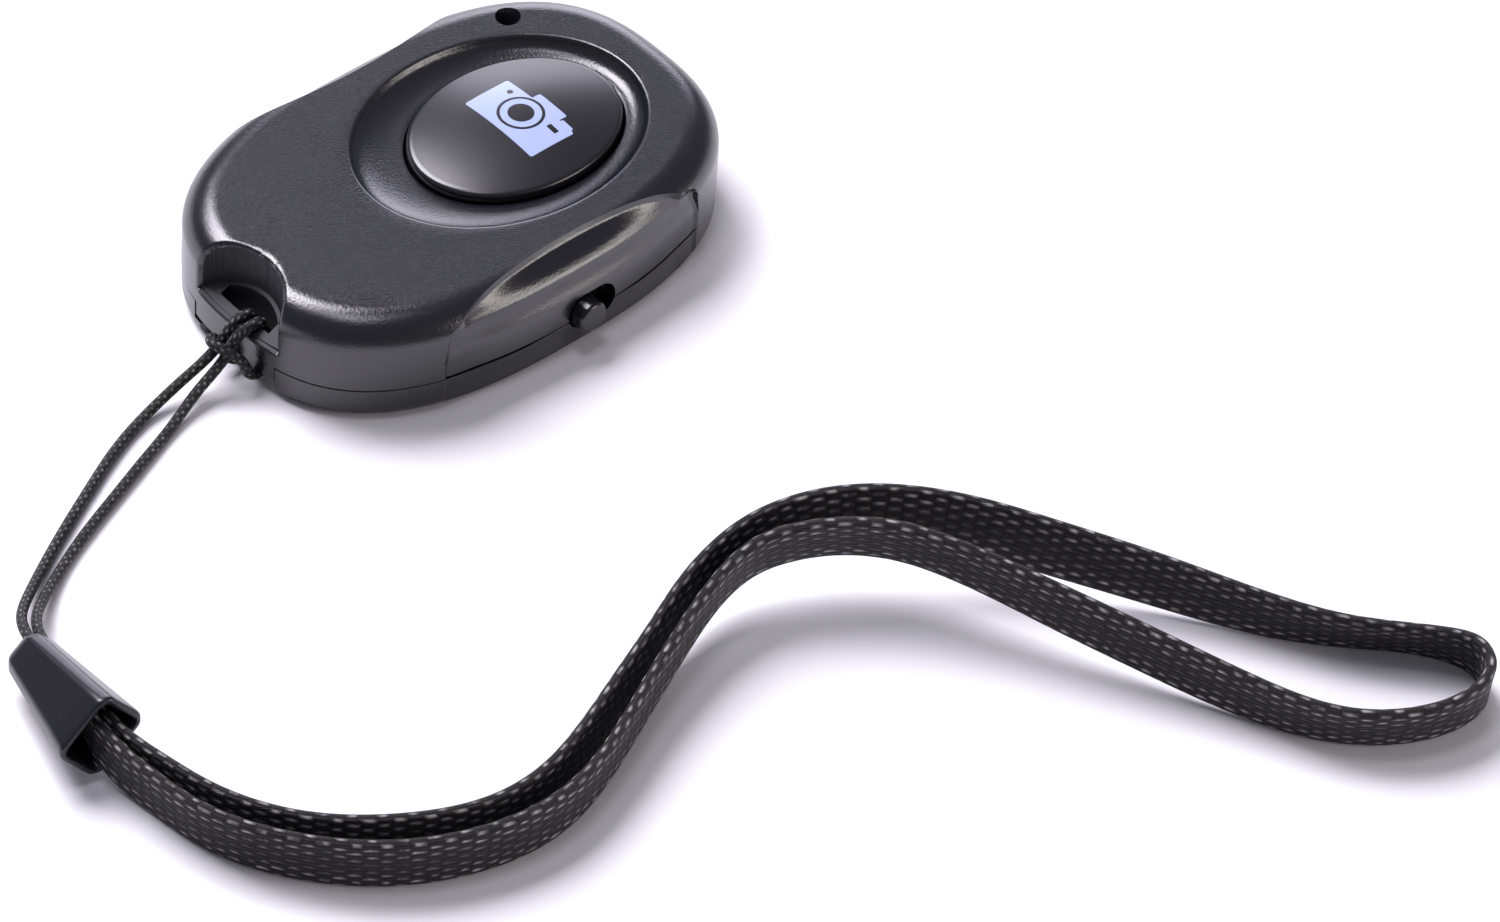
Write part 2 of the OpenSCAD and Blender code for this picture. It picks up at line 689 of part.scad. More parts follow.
module tact_switch_legs() {
    color([0.8, 0.8, 0.82]) for (x = [-1, 1], y = [-1, 1])
        translate([x * (tact_size / 2 + leg_out / 2), button_y + y * leg_spread / 2, board_top]) {
            translate([-leg_out / 2, -leg_width / 2, 0]) cube([leg_out, leg_width, leg_thick]);
            translate([x > 0 ? -leg_out / 2 : leg_out / 2 - leg_thick, -leg_width / 2, 0])
                cube([leg_thick, leg_width, tact_height / 2]);
        }
}

module tact_dome() {
    foot = board_top + tact_floor;
    color([0.8, 0.78, 0.7]) translate([0, button_y, foot]) rotate_extrude()
        polygon([[0, dome_high - dome_thick], [tact_well_radius * 0.5, dome_high - 2 * dome_thick],
            [tact_well_radius - part_gap, 0], [tact_well_radius - part_gap, dome_thick],
            [tact_well_radius * 0.5, dome_high - dome_thick], [0, dome_high]]);
}

module tact_plunger() {
    foot = board_top + tact_height - plunger_foot - face_gap;
    color([0.1, 0.1, 0.1]) translate([0, button_y, 0]) {
        translate([0, 0, foot]) cylinder(r = plunger_foot_radius, h = plunger_foot);
        translate([0, 0, foot]) cylinder(r = plunger_radius, h = plunger_top - foot);
    }
}

module status_lamp() {
    color([0.9, 0.9, 0.85]) translate([led_x, led_y, board_top]) rotate([0, 0, lamp_turn])
        translate([-led_long / 2, -led_wide / 2, 0]) cube([led_long, led_wide, led_base]);
}

module lamp_lens() {
    color([0.75, 0.85, 1]) translate([led_x, led_y, board_top + led_base]) rotate_extrude()
        polygon(concat([[0, 0]], [for (t = [0:15:90]) [led_dome_radius * cos(t), led_dome_radius * sin(t)]]));
}

// Sheet-metal can of the slide switch, open towards the case wall and below
module power_switch_frame() {
    slot_half = slider_half + slider_play;
    sheet = switch_sheet;
    color([0.78, 0.78, 0.8]) difference() {
        translate([switch_in, switch_mid - switch_long / 2, switch_bottom + sheet])
            cube([switch_deep, switch_long, board_height - switch_bottom - sheet]);
        translate([switch_in + sheet, switch_mid - switch_long / 2 + sheet, switch_bottom - overrun])
            cube([switch_deep - 2 * sheet, switch_long - 2 * sheet,
                  board_height - switch_bottom - sheet + overrun]);
        translate([switch_out - overrun, knob_y - slot_half, knob_height - slot_half])
            cube([2 * overrun, knob_travel + 2 * slot_half, 2 * slot_half]);
    }
}

module power_switch_base() {
    color([0.15, 0.15, 0.15])
        translate([switch_in, switch_mid - switch_long / 2, switch_bottom - switch_sheet])
            cube([switch_deep, switch_long, 2 * switch_sheet]);
}

module power_switch_pins() {
    color([0.82, 0.8, 0.7]) for (k = [-1, 0, 1])
        translate([switch_in - pin_deep, switch_mid + k * pin_apart - pin_wide / 2, board_height - pin_wide])
            cube([pin_deep, pin_wide, pin_wide]);
}

// Slider with the round knob on a thinner neck, which runs in the window of the can
neck_gap = 0.1;
module power_switch_knob() {
    slider_in = switch_in + switch_sheet + slider_play;
    slider_out = switch_out - switch_sheet - slider_play;
    slider_low = switch_bottom + switch_sheet + slider_play;
    slider_top = board_height - switch_sheet - slider_play;
    neck = slider_half - neck_gap;
    color([0.1, 0.1, 0.11]) union() {
        translate([slider_in, knob_y - slider_long / 2, slider_low])
            cube([slider_out - slider_in, slider_long, slider_top - slider_low]);
        translate([0, knob_y, knob_height]) rotate([0, 90, 0]) rotate_extrude()
            polygon(concat([[0, slider_in + part_gap], [neck, slider_in + part_gap],
                [neck, switch_out + part_gap], [knob_radius, switch_out + part_gap]],
                [for (t = [0:30:90])
                    [knob_radius - knob_edge * (1 - cos(t)), knob_tip - knob_edge * (1 - sin(t))]],
                [[0, knob_tip]]));
    }
}

// Coin cell, its negative cap up against the board's contact
module coin_cell_can() {
    r = cell_diameter / 2;
    color([0.78, 0.78, 0.8]) translate([cell_x, cell_y, cell_bottom]) difference() {
        cylinder(r = r, h = can_high);
        translate([0, 0, can_wall]) cylinder(r = r - can_wall, h = cell_thick);
    }
}

module coin_cell_gasket() {
    r = cell_diameter / 2 - can_wall;
    color([0.2, 0.2, 0.22]) translate([cell_x, cell_y, cell_bottom + can_wall]) difference() {
        cylinder(r = r, h = can_high - can_wall);
        translate([0, 0, -overrun]) cylinder(r = r - gasket_wall, h = cell_thick + overrun);
    }
}

module coin_cell_cap() {
    r = cell_diameter / 2 - can_wall - gasket_wall;
    color([0.74, 0.74, 0.77]) translate([cell_x, cell_y, cell_bottom + can_wall]) {
        cylinder(r = r, h = can_high - can_wall);
        cylinder(r = cap_radius, h = cell_thick - can_wall - face_gap);
    }
}

// Bridge clip under the cell, its two feet on the board
module cell_clip() {
    reach = cell_diameter / 2 + clip_gap;
    low = cell_bottom - clip_thick - face_gap;
    color([0.82, 0.8, 0.72]) translate([cell_x, cell_y, 0]) union() {
        translate([-clip_wide / 2, -reach - clip_thick, low])
            cube([clip_wide, 2 * (reach + clip_thick), clip_thick]);
        for (s = [0, 180]) rotate([0, 0, s]) {
            translate([-clip_wide / 2, reach, low]) cube([clip_wide, clip_thick, board_height - low]);
            translate([-clip_wide / 2, reach, board_height - clip_thick])
                cube([clip_wide, clip_foot, clip_thick]);
        }
    }
}

module cell_contact() {
    color([0.8, 0.55, 0.3]) translate([cell_x, cell_y, board_height - contact_thick])
        cylinder(r = contact_radius, h = contact_thick);
}

// Direction of a route at one of its points
function unit(v) = v / norm(v);
function place(p) = [p[0], p[1], p[2]];
function tangent(c, i) = unit(place(c[min(len(c) - 1, i + 1)]) - place(c[max(0, i - 1)]));

cord_reference = unit([1, 1, 1]);
module lanyard_cord() {
    c = cord_route;
    r = cord_diameter / 2 / cos(180 / cord_sides);
    color([0.1, 0.1, 0.1]) loft([for (i = [0:len(c) - 1])
        let (t = tangent(c, i), u = unit(cross(t, cord_reference)), v = cross(t, u))
        [for (k = [0:cord_sides - 1])
            let (a = 360 * (k + 0.5) / cord_sides) c[i] + r * (cos(a) * u + sin(a) * v)]]);
}

// Stiff braid of the strap: a flat section with rounded edges, standing on edge.
gather_share = [0.55, 0.72, 0.92];
function gather(i, n) = let (k = min(i, n - 1 - i)) k < len(gather_share) ? gather_share[k] : 1;
strap_section_share = [[0.5, 0.3], [0.42, 0.5], [-0.42, 0.5], [-0.5, 0.3],
    [-0.5, -0.3], [-0.42, -0.5], [0.42, -0.5], [0.5, -0.3]];
module wrist_strap() {
    c = strap_route;
    color([0.12, 0.12, 0.12]) loft([for (i = [0:len(c) - 1])
        let (t = tangent(c, i), side = unit(cross(t, [0, 0, 1])), up = cross(side, t), lean = c[i][3],
             w = cos(lean) * up + sin(lean) * side, n = cos(lean) * side - sin(lean) * up)
        [for (s = strap_section_share)
            place(c[i]) + s[0] * strap_width * gather(i, len(c)) * w + s[1] * strap_thick * n]]);
}

// Bevelled rectangle, the clasp's section across its axis
function bevelled(u, v, bevel, x) =
    [for (q = [[1, 1], [-1, 1], [-1, -1], [1, -1]], k = [0:1])
        let (flip = (q[0] * q[1] > 0) ? k : 1 - k)
        [x, q[0] * (u / 2 - (flip == 0 ? 0 : bevel)), q[1] * (v / 2 - (flip == 0 ? bevel : 0))]];
module along_clasp() {
    translate(clasp_start) rotate([0, 0, clasp_turn]) rotate([0, clasp_tilt, 0]) rotate([clasp_roll, 0, 0])
        children();
}

module strap_clasp() {
    body_u = function(x) narrow_u + (mouth_u - narrow_u) * x / clasp_length;
    body_v = function(x) narrow_v + (mouth_v - narrow_v) * x / clasp_length;
    // Each end ring has its place along the axis and how far it is drawn in
    ends = [[0, clasp_end_round], [clasp_end_round * clasp_round_share, clasp_end_round * clasp_round_share],
        [clasp_end_round, 0], [clasp_length, 0]];
    color([0.2, 0.21, 0.25]) along_clasp() difference() {
        loft([for (s = ends)
            bevelled(body_u(s[0]) - 2 * s[1], body_v(s[0]) - 2 * s[1], clasp_bevel, s[0])]);
        loft([for (x = [hollow_start, clasp_length + overrun])
            bevelled(body_u(x) - 2 * clasp_wall, body_v(x) - 2 * clasp_wall, clasp_bevel / 2, x)]);
        translate([-overrun, 0, 0]) rotate([0, 90, 0])
            cylinder(r = cord_diameter + part_gap, h = hollow_start + 2 * overrun, $fn = 24);
    }
}

module cord_knot() {
    color([0.1, 0.1, 0.1]) along_clasp()
        translate([hollow_start + knot_radius, 0, 0]) rotate([0, 90, 0]) rotate_extrude($fn = 24)
            polygon([for (k = [0:knot_steps])
                let (t = 180 * k / knot_steps) [knot_radius * sin(t), -knot_radius * cos(t)]]);
}

top_case();
back_cover();
shutter_button();
main_board();
antenna_trace();
bluetooth_chip();
crystal();
chip_components();
board_screws();
tact_switch_base();
tact_switch_cover();
tact_switch_legs();
tact_dome();
tact_plunger();
status_lamp();
lamp_lens();
power_switch_frame();
power_switch_base();
power_switch_pins();
power_switch_knob();
coin_cell_can();
coin_cell_gasket();
coin_cell_cap();
cell_clip();
cell_contact();
lanyard_cord();
cord_knot();
strap_clasp();
wrist_strap();
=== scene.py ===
import math

import bpy
import numpy as np
from mathutils import Matrix


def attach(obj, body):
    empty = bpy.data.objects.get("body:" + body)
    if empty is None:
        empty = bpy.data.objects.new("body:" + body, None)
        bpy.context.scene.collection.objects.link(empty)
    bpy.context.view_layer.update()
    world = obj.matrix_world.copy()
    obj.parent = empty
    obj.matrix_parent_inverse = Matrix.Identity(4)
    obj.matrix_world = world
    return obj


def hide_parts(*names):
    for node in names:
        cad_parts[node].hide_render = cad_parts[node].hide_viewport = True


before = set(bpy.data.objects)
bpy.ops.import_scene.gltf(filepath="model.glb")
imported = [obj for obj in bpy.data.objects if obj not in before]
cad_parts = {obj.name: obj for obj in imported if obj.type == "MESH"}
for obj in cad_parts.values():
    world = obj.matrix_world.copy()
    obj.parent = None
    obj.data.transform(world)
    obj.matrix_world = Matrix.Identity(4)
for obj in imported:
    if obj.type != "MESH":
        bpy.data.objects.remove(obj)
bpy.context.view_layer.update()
mm = 0.001

# Camera. A long lens looks down on the remote from its near right side, past the power switch
# and the lanyard end, with a slight roll.
view_azimuth = math.radians(45.12)
view_elevation = math.radians(44.03)
view_roll = math.radians(4.2)
view_target = np.array([42.34, -1.12, 5.0]) * mm
view_distance = 875.36 * mm
back = np.array([math.sin(view_azimuth) * math.cos(view_elevation),
                 -math.cos(view_azimuth) * math.cos(view_elevation),
                 math.sin(view_elevation)])
right = np.cross([0, 0, 1], back)
right /= np.linalg.norm(right)
up = np.cross(back, right)
turned_right = right * math.cos(view_roll) + up * math.sin(view_roll)
turned_up = up * math.cos(view_roll) - right * math.sin(view_roll)


def placed(x_axis, y_axis, z_axis, at):
    """Matrix of an object that stands at a place with its axes along three directions."""
    return Matrix([[x_axis[k], y_axis[k], z_axis[k], at[k]] for k in range(3)] + [[0, 0, 0, 1]])


camera = bpy.data.objects.new("camera", bpy.data.cameras.new("camera"))
camera.data.sensor_width = 36
camera.data.lens = 234.66
camera.data.clip_start = 0.05
camera.data.clip_end = 20
camera.matrix_world = placed(turned_right, turned_up, back, view_target + back * view_distance)
bpy.context.scene.collection.objects.link(camera)
bpy.context.scene.camera = camera
bpy.context.scene.view_settings.view_transform = "Standard"

# Lanyard cord. One loop of round nylon braid, 1 mm thick, hitched round the bar at the end of
# the case: its bight goes through the eye and both ends are drawn through it, then run side by
# side into the clasp, where a knot holds them.
cord_radius = 0.5 * mm
cord_sides = 20
cord_spacing = 0.2 * mm
cord_route = mm * np.array([
    [20.5, -64.9, 3.7], [18, -64.2, 3.4], [15.8, -63.2, 2.9], [12.6, -60, 1.6], [9.7, -55.8, 0.7],
    [7.2, -51.4, 0.6], [4.6, -46.4, 0.6], [2, -41, 0.6], [0.4, -36, 0.8],
    [0.1, -31.4, 2.2], [0.3, -28.2, 4], [0.4, -27, 5.4], [0.5, -25.9, 6.3], [0.6, -24.5, 6.2],
    [0.6, -24.2, 4.2], [0.5, -24.2, 2.4], [0.5, -25, 1.2], [0.1, -26.4, 1.5], [-0.6, -27, 3],
    [-0.6, -28, 4.4], [0.5, -28.8, 5], [1.8, -28.2, 4.6], [2.8, -27.1, 3.2],
    [3, -26.4, 1.6], [2.8, -25, 1.2], [2.4, -24.2, 2.4], [2.1, -24.2, 4.2], [2, -24.5, 6.2],
    [1.9, -25.9, 6.3], [1.6, -27, 5.2], [1.5, -28.2, 3.6], [1.7, -31.2, 1.8],
    [2.9, -35.2, 0.7], [4.8, -40.2, 0.6], [6.9, -45.6, 0.6], [9, -50.8, 0.6], [11.2, -55.3, 0.7],
    [13.8, -59.3, 1.6], [16.6, -62.2, 2.9], [18.3, -63.2, 3.4], [20.5, -63.9, 3.7]])


def smooth_curve(points, spacing):
    """Natural cubic spline through the points over their chord lengths h, resampled evenly. Its second
    derivatives m, here bend, satisfy
    h[k-1] m[k-1] + 2 (h[k-1] + h[k]) m[k] + h[k] m[k+1] = 6 (s[k] - s[k-1]),
    where s are the chords' slopes."""
    h = np.linalg.norm(np.diff(points[:, :3], axis=0), axis=1)
    slope = np.diff(points, axis=0) / h[:, None]
    system = np.eye(len(points))
    inner = np.arange(1, len(points) - 1)
    system[inner, inner - 1] = h[:-1]
    system[inner, inner] = 2 * (h[:-1] + h[1:])
    system[inner, inner + 1] = h[1:]
    bend = np.linalg.solve(system, np.vstack([0 * slope[:1], 6 * np.diff(slope, axis=0), 0 * slope[:1]]))
    steps = 40
    t = np.linspace(0, 1, steps, endpoint=False)[None, :, None] * h[:, None, None]
    curve = (points[:-1, None] + t * (slope - h[:, None] * (2 * bend[:-1] + bend[1:]) / 6)[:, None]
             + t ** 2 * bend[:-1, None] / 2 + t ** 3 * (np.diff(bend, axis=0) / h[:, None])[:, None] / 6)
    fine = np.vstack([curve.reshape(-1, points.shape[1]), points[-1]])
    run = np.concatenate([[0], np.cumsum(np.linalg.norm(np.diff(fine[:, :3], axis=0), axis=1))])
    even = np.linspace(0, run[-1], int(run[-1] / spacing) + 2)
    return even, np.stack([np.interp(even, run, fine[:, k]) for k in range(fine.shape[1])], 1)


def unit(v):
    """Each row divided by its own length."""
    return v / np.linalg.norm(v, axis=-1, keepdims=True)


def surface(name, points, uv=None, wrap=True, loop=False):
    """Mesh over a grid of points: rows along the form, columns round it. wrap joins the last column
    to the first, and loop the last row to the first; without loop the two end rings are closed."""
    rows, cols = points.shape[:2]
    index = np.arange(rows * cols).reshape(rows, cols)
    j = np.arange(cols if wrap else cols - 1)
    i = np.arange(rows if loop else rows - 1)
    down = (i + 1) % rows
    over = (j + 1) % cols
    quads = np.stack([index[np.ix_(i, j)], index[np.ix_(i, over)],
                      index[np.ix_(down, over)], index[np.ix_(down, j)]], -1).reshape(-1, 4)
    faces = quads.tolist()
    if wrap and not loop:
        faces += [index[0, ::-1].tolist(), index[-1].tolist()]
    mesh = bpy.data.meshes.new(name)
    mesh.from_pydata(points.reshape(-1, 3).tolist(), [], faces)
    if uv is not None:
        corner = np.stack([uv[np.ix_(i, j)], uv[np.ix_(i, j + 1)],
                           uv[np.ix_(i + 1, j + 1)], uv[np.ix_(i + 1, j)]], 2).reshape(-1, 2)
        spread = np.zeros((len(mesh.loops), 2))
        spread[:len(corner)] = corner
        mesh.uv_layers.new(name="UVMap").data.foreach_set("uv", spread.ravel())
    mesh.shade_smooth()
    mesh.update()
    piece = bpy.data.objects.new(name, mesh)
    bpy.context.scene.collection.objects.link(piece)
    return piece


def tube(path, radius, sides):
    """Round tube: each ring is the centre plus radius times (cos a u + sin a v), square to the path."""
    along = unit(np.gradient(path, axis=0))
    u = unit(np.cross(along, unit(np.array([1.0, 1.0, 1.0]))))
    v = np.cross(along, u)
    a = np.linspace(0, 2 * np.pi, sides, endpoint=False)[None, :, None]
    return path[:, None] + radius * (np.cos(a) * u[:, None] + np.sin(a) * v[:, None])


def material(name, **sockets):
    """A material with one Principled BSDF, its plain values set on its own sockets."""
    made = bpy.data.materials.new(name)
    made.use_nodes = True
    shader = made.node_tree.nodes["Principled BSDF"]
    for socket, value in sockets.items():
        shader.inputs[socket.replace("_", " ")].default_value = value
    return made, made.node_tree, shader


def math_node(tree, operation, *values, clamp=False):
    """One Math node. A value is a number or another node's output."""
    node = tree.nodes.new("ShaderNodeMath")
    node.operation = operation
    node.use_clamp = clamp
    for k, value in enumerate(values):
        if isinstance(value, (int, float)):
            node.inputs[k].default_value = value
        else:
            tree.links.new(value, node.inputs[k])
    return node.outputs[0]


def node_group(name, inputs, outputs):
    """A shader node group with named number or colour sockets. Returns its tree, inputs and outputs."""
    tree = bpy.data.node_groups.new(name, "ShaderNodeTree")
    for label, kind, value in inputs:
        socket = tree.interface.new_socket(label, in_out="INPUT", socket_type=kind)
        if value is not None:
            socket.default_value = value
    for label, kind in outputs:
        tree.interface.new_socket(label, in_out="OUTPUT", socket_type=kind)
    return tree, tree.nodes.new("NodeGroupInput").outputs, tree.nodes.new("NodeGroupOutput").inputs


def use_group(tree, group, **values):
    """The group placed in a material. A value is a number, a colour or another node's output."""
    node = tree.nodes.new("ShaderNodeGroup")
    node.node_tree = group
    for label, value in values.items():
        socket = node.inputs[label.replace("_", " ")]
        if isinstance(value, bpy.types.NodeSocket):
            tree.links.new(value, socket)
        else:
            socket.default_value = value
    return node.outputs


def colour_between(tree, factor, low, high):
    """Mix node between two colours by a factor."""
    mix = tree.nodes.new("ShaderNodeMix")
    mix.data_type = "RGBA"
    mix.inputs[6].default_value = (*low, 1)
    mix.inputs[7].default_value = (*high, 1)
    tree.links.new(factor, mix.inputs[0])
    return mix.outputs[2]


def bump(tree, height, distance):
    """Bump node over a height, its distance in metres."""
    node = tree.nodes.new("ShaderNodeBump")
    node.inputs["Distance"].default_value = distance
    tree.links.new(height, node.inputs["Height"])
    return node.outputs["Normal"]


# Braid of the cord and the strap. Its yarns pass over and under each other in a chequer of small
# cells, and in every other cell the yarn on top gets a painted highlight, a lighter base colour, less so where
# Plain is high.
braid_wander, braid_shift = 0.9, 0.9
under_height, strand_height, strands_a_cell = 0.45, 0.15, 3
glint_power, glint_gain, glint_start, glint_least = 1.8, 3.6, -1.0, 0.1
braid, braid_in, braid_out = node_group(
    "braid",
    [("Vector", "NodeSocketVector", None), ("Across", "NodeSocketFloat", 8.0),
     ("Along", "NodeSocketFloat", 8.0), ("Plain", "NodeSocketFloat", 0.0)],
    [("Height", "NodeSocketFloat"), ("Glint", "NodeSocketFloat")])
parts = braid.nodes.new("ShaderNodeSeparateXYZ")
braid.links.new(braid_in["Vector"], parts.inputs[0])
wander = braid.nodes.new("ShaderNodeTexNoise")
wander.inputs["Scale"].default_value = braid_wander
wander.inputs["Detail"].default_value = 2
braid.links.new(braid_in["Vector"], wander.inputs["Vector"])
shift = math_node(braid, "MULTIPLY", math_node(braid, "SUBTRACT", wander.outputs["Fac"], 0.5), braid_shift)
cross_count = math_node(braid, "MULTIPLY", parts.outputs[0], braid_in["Across"])
along_count = math_node(braid, "MULTIPLY", parts.outputs[1], braid_in["Along"])
along_count = math_node(braid, "ADD", along_count, shift)
cross_wave = math_node(braid, "SINE", math_node(braid, "MULTIPLY", cross_count, math.pi))
along_wave = math_node(braid, "SINE", math_node(braid, "MULTIPLY", along_count, math.pi))
cell = math_node(braid, "MULTIPLY", cross_wave, along_wave)
over = math_node(braid, "MAXIMUM", cell, 0.0)
under = math_node(braid, "MAXIMUM", math_node(braid, "MULTIPLY", cell, -1.0), 0.0)
under = math_node(braid, "MULTIPLY", math_node(braid, "SQRT", under), under_height)
strands = math_node(braid, "MULTIPLY", math_node(braid, "ADD", cross_count, along_count),
                    strands_a_cell * math.pi)
strands = math_node(braid, "ABSOLUTE", math_node(braid, "SINE", strands))
height = math_node(braid, "ADD", math_node(braid, "SQRT", over), under)
height = math_node(braid, "ADD", height, math_node(braid, "MULTIPLY", strands, strand_height))
# How strong the painted highlight is wanders with the same noise.
share = math_node(braid, "ADD", math_node(braid, "MULTIPLY", wander.outputs["Fac"], glint_gain), glint_start)
share = math_node(braid, "MAXIMUM", share, glint_least)
# Painted highlight: the yarn on top of each raised cell is drawn lighter.
glint = math_node(braid, "MULTIPLY", math_node(braid, "POWER", over, glint_power), share, clamp=True)
glint = math_node(braid, "MULTIPLY", glint, math_node(braid, "SUBTRACT", 1.0, braid_in["Plain"]))
braid.links.new(height, braid_out["Height"])
braid.links.new(glint, braid_out["Glint"])

cord_run, cord_path = smooth_curve(cord_route, cord_spacing)
around = np.linspace(0, 1, cord_sides + 1)
cord_uv = np.stack(np.meshgrid(around, cord_run / mm, indexing="xy"), -1)
cord = surface("lanyard_loop", tube(cord_path, cord_radius, cord_sides), uv=cord_uv)
cord_nylon, tree, shader = material("black_cord_nylon", Roughness=0.55, Specular_IOR_Level=0.35)
uv = tree.nodes.new("ShaderNodeUVMap")
yarns = use_group(tree, braid, Vector=uv.outputs[0], Across=8.0, Along=2.2)
tree.links.new(bump(tree, yarns["Height"], 0.1 * mm), shader.inputs["Normal"])
# Base colour: black, lifted towards pale grey as a painted highlight on the yarns on top.
nylon_colour = colour_between(tree, yarns["Glint"], (0.004, 0.004, 0.004), (0.18, 0.18, 0.17))
tree.links.new(nylon_colour, shader.inputs["Base Color"])
cord.data.materials.append(cord_nylon)
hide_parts("lanyard_cord")
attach(cord, "case")

# Knot at the cord's ends. A small overhand knot of the same braid, drawn tight inside the clasp
# so that the cord can't pull out of it.
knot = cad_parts["cord_knot"]
knot.data.materials.clear()
knot.data.materials.append(cord_nylon)

# Wrist strap. A flat tubular braid of black nylon, 6 mm wide and 1 mm thick. Its two ends are
# crimped in the clasp, and it stands on edge on the table in one long loop. Its painted highlights,
# a lighter base colour on the yarns on top, gather at its two edges and thin out over its faces.
strap_width = 6.0 * mm
strap_thick = 1.0 * mm
strap_spacing = 0.4 * mm
face_points, edge_points = 24, 6
strap_route = np.array([
    [29, -67.1, 4.6, 0], [31.4, -67.6, 4.2, 0], [34.4, -67.7, 3.4, 4], [39.4, -67.3, 3, 8],
    [44.4, -66.6, 3, 8], [52.8, -62.5, 3, 6], [58.8, -56.3, 3, 6], [62.4, -48.3, 3, 6],
    [63, -42.3, 3, 6], [61.4, -35.4, 3.1, 6], [58.1, -27.8, 3.6, 5], [55.3, -21.2, 4.4, 6],
    [53.7, -16.8, 5.2, 8], [53.1, -9.4, 6.9, 14], [54.6, -6.3, 7.6, 16], [60.4, 0.2, 8, 14],
    [64.4, 2.7, 7.5, 12], [73.1, 6.8, 6, 6], [82, 10.8, 4.4, 4], [91, 14.7, 3.2, 8],
    [99, 19.3, 3, 18], [101.7, 22.6, 3, 18], [103.6, 29.4, 3, 12], [102.6, 32.4, 3, 4],
    [100, 33.9, 3, -10], [97, 33, 2.9, -20], [90.4, 27.6, 2.8, -22], [82.8, 22.2, 3.1, -6],
    [75, 17.4, 4, 4], [67.6, 12, 5.5, 8], [64, 9.2, 6.3, 10], [57.6, 2.8, 7.6, 14],
    [54.9, -0.7, 7.7, 14], [51.4, -8.4, 6.6, 12], [51, -12.2, 5.8, 8], [51.9, -17.5, 4.8, 6],
    [53.6, -22.4, 4, 4], [56.1, -29.2, 3.3, 2], [58.6, -35.6, 3, 2], [60.2, -41, 3, 4],
    [60.2, -46.6, 3, 4], [56.6, -54.9, 3, 4], [50.9, -61.2, 3, 4], [43.2, -65, 3, 4],
    [38.8, -65.8, 3, 2], [34.2, -66.4, 3.4, 0], [31.2, -66.4, 4.2, 0], [28.8, -65.9, 4.6, 0]])
strap_gather = np.ones(len(strap_route))
strap_gather[:3] = strap_gather[:-4:-1] = (0.55, 0.72, 0.92)
strap_table = np.column_stack([strap_route[:, :3] * mm, np.radians(strap_route[:, 3]), strap_gather])


def flat_braid(table, width, thick):
    """Flat section carried along the path, standing on edge and leaning by its own angle. The section
    is a stadium: its two faces are straight and its two edges are half circles of the thickness. Also
    gives each point's distance round the section."""
    path, lean, gather = table[:, :3], table[:, 3:4], table[:, 4]
    along = unit(np.gradient(path, axis=0))
    side = unit(np.cross(along, [0, 0, 1]))
    tall = np.cross(side, along)
    w = np.cos(lean) * tall + np.sin(lean) * side
    n = np.cos(lean) * side - np.sin(lean) * tall
    straight = width / 2 - thick / 2
    face_w = straight * np.linspace(-1, 1, face_points)
    face_n = np.full(face_points, thick / 2)
    bend = np.linspace(-np.pi / 2, np.pi / 2, edge_points + 2)[1:-1]
    edge_w = straight + thick / 2 * np.cos(bend)
    edge_n = thick / 2 * np.sin(bend)
    ring_w = np.concatenate([face_w, edge_w, -face_w, -edge_w])
    ring_n = np.concatenate([-face_n, edge_n, face_n, -edge_n])
    ring_step = np.hypot(np.diff(ring_w, append=ring_w[0]), np.diff(ring_n, append=ring_n[0]))
    points = (path[:, None] + ring_w[None, :, None] * gather[:, None, None] * w[:, None]
              + ring_n[None, :, None] * n[:, None])
    return points, np.concatenate([[0], np.cumsum(ring_step)])


strap_run, strap_line = smooth_curve(strap_table, strap_spacing)
strap_points, ring_run = flat_braid(strap_line, strap_width, strap_thick)
strap_uv = np.stack(np.meshgrid(ring_run / mm, strap_run / mm, indexing="xy"), -1)
strap = surface("wrist_strap_braid", strap_points, uv=strap_uv)
strap_nylon, tree, shader = material("black_flat_braid", Roughness=0.6, Specular_IOR_Level=0.3, Sheen_Weight=0.04)
uv = tree.nodes.new("ShaderNodeUVMap")
parts = tree.nodes.new("ShaderNodeSeparateXYZ")
tree.links.new(uv.outputs[0], parts.inputs[0])
# Plain rises over the strap's two faces, so that the painted highlights keep mostly to its edges.
strap_edge = math.pi / 2 * strap_thick / mm
face_and_edge = (strap_width - strap_thick) / mm + strap_edge
from_edge = math_node(tree, "SUBTRACT", parts.outputs[0], face_and_edge - strap_edge / 2)
at_edge = math_node(tree, "COSINE", math_node(tree, "MULTIPLY", from_edge, 2 * math.pi / face_and_edge))
plain_start, plain_gain = 0.1, 0.75
plain = math_node(tree, "MULTIPLY", math_node(tree, "SUBTRACT", plain_start, at_edge), plain_gain, clamp=True)
yarns = use_group(tree, braid, Vector=uv.outputs[0], Across=2.0, Along=0.75, Plain=plain)
tree.links.new(bump(tree, yarns["Height"], 0.2 * mm), shader.inputs["Normal"])
# Base colour: black, lifted towards light grey as a painted highlight on the yarns on top, mostly near the edges.
nylon_colour = colour_between(tree, yarns["Glint"], (0.005, 0.004, 0.005), (0.36, 0.35, 0.36))
tree.links.new(nylon_colour, shader.inputs["Base Color"])
strap.data.materials.append(strap_nylon)
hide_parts("wrist_strap")
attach(strap, "case")

# Strap clasp. A hollow wedge of charcoal plastic with bevelled edges, moulded in one piece and
# pushed over the strap's crimped ends; the cord comes out of its narrow end.
clasp_start = np.array([18.9, -65.3, 3.3]) * mm
clasp_length = 13.8 * mm
clasp_turn, clasp_tilt, clasp_roll = (math.radians(a) for a in (-10.4, -6.1, -48))
clasp_sides, corner_sharpness = 160, 36
mouth = np.array([5.8, 7.2]) * mm
narrow = np.array([3.5, 4.2]) * mm


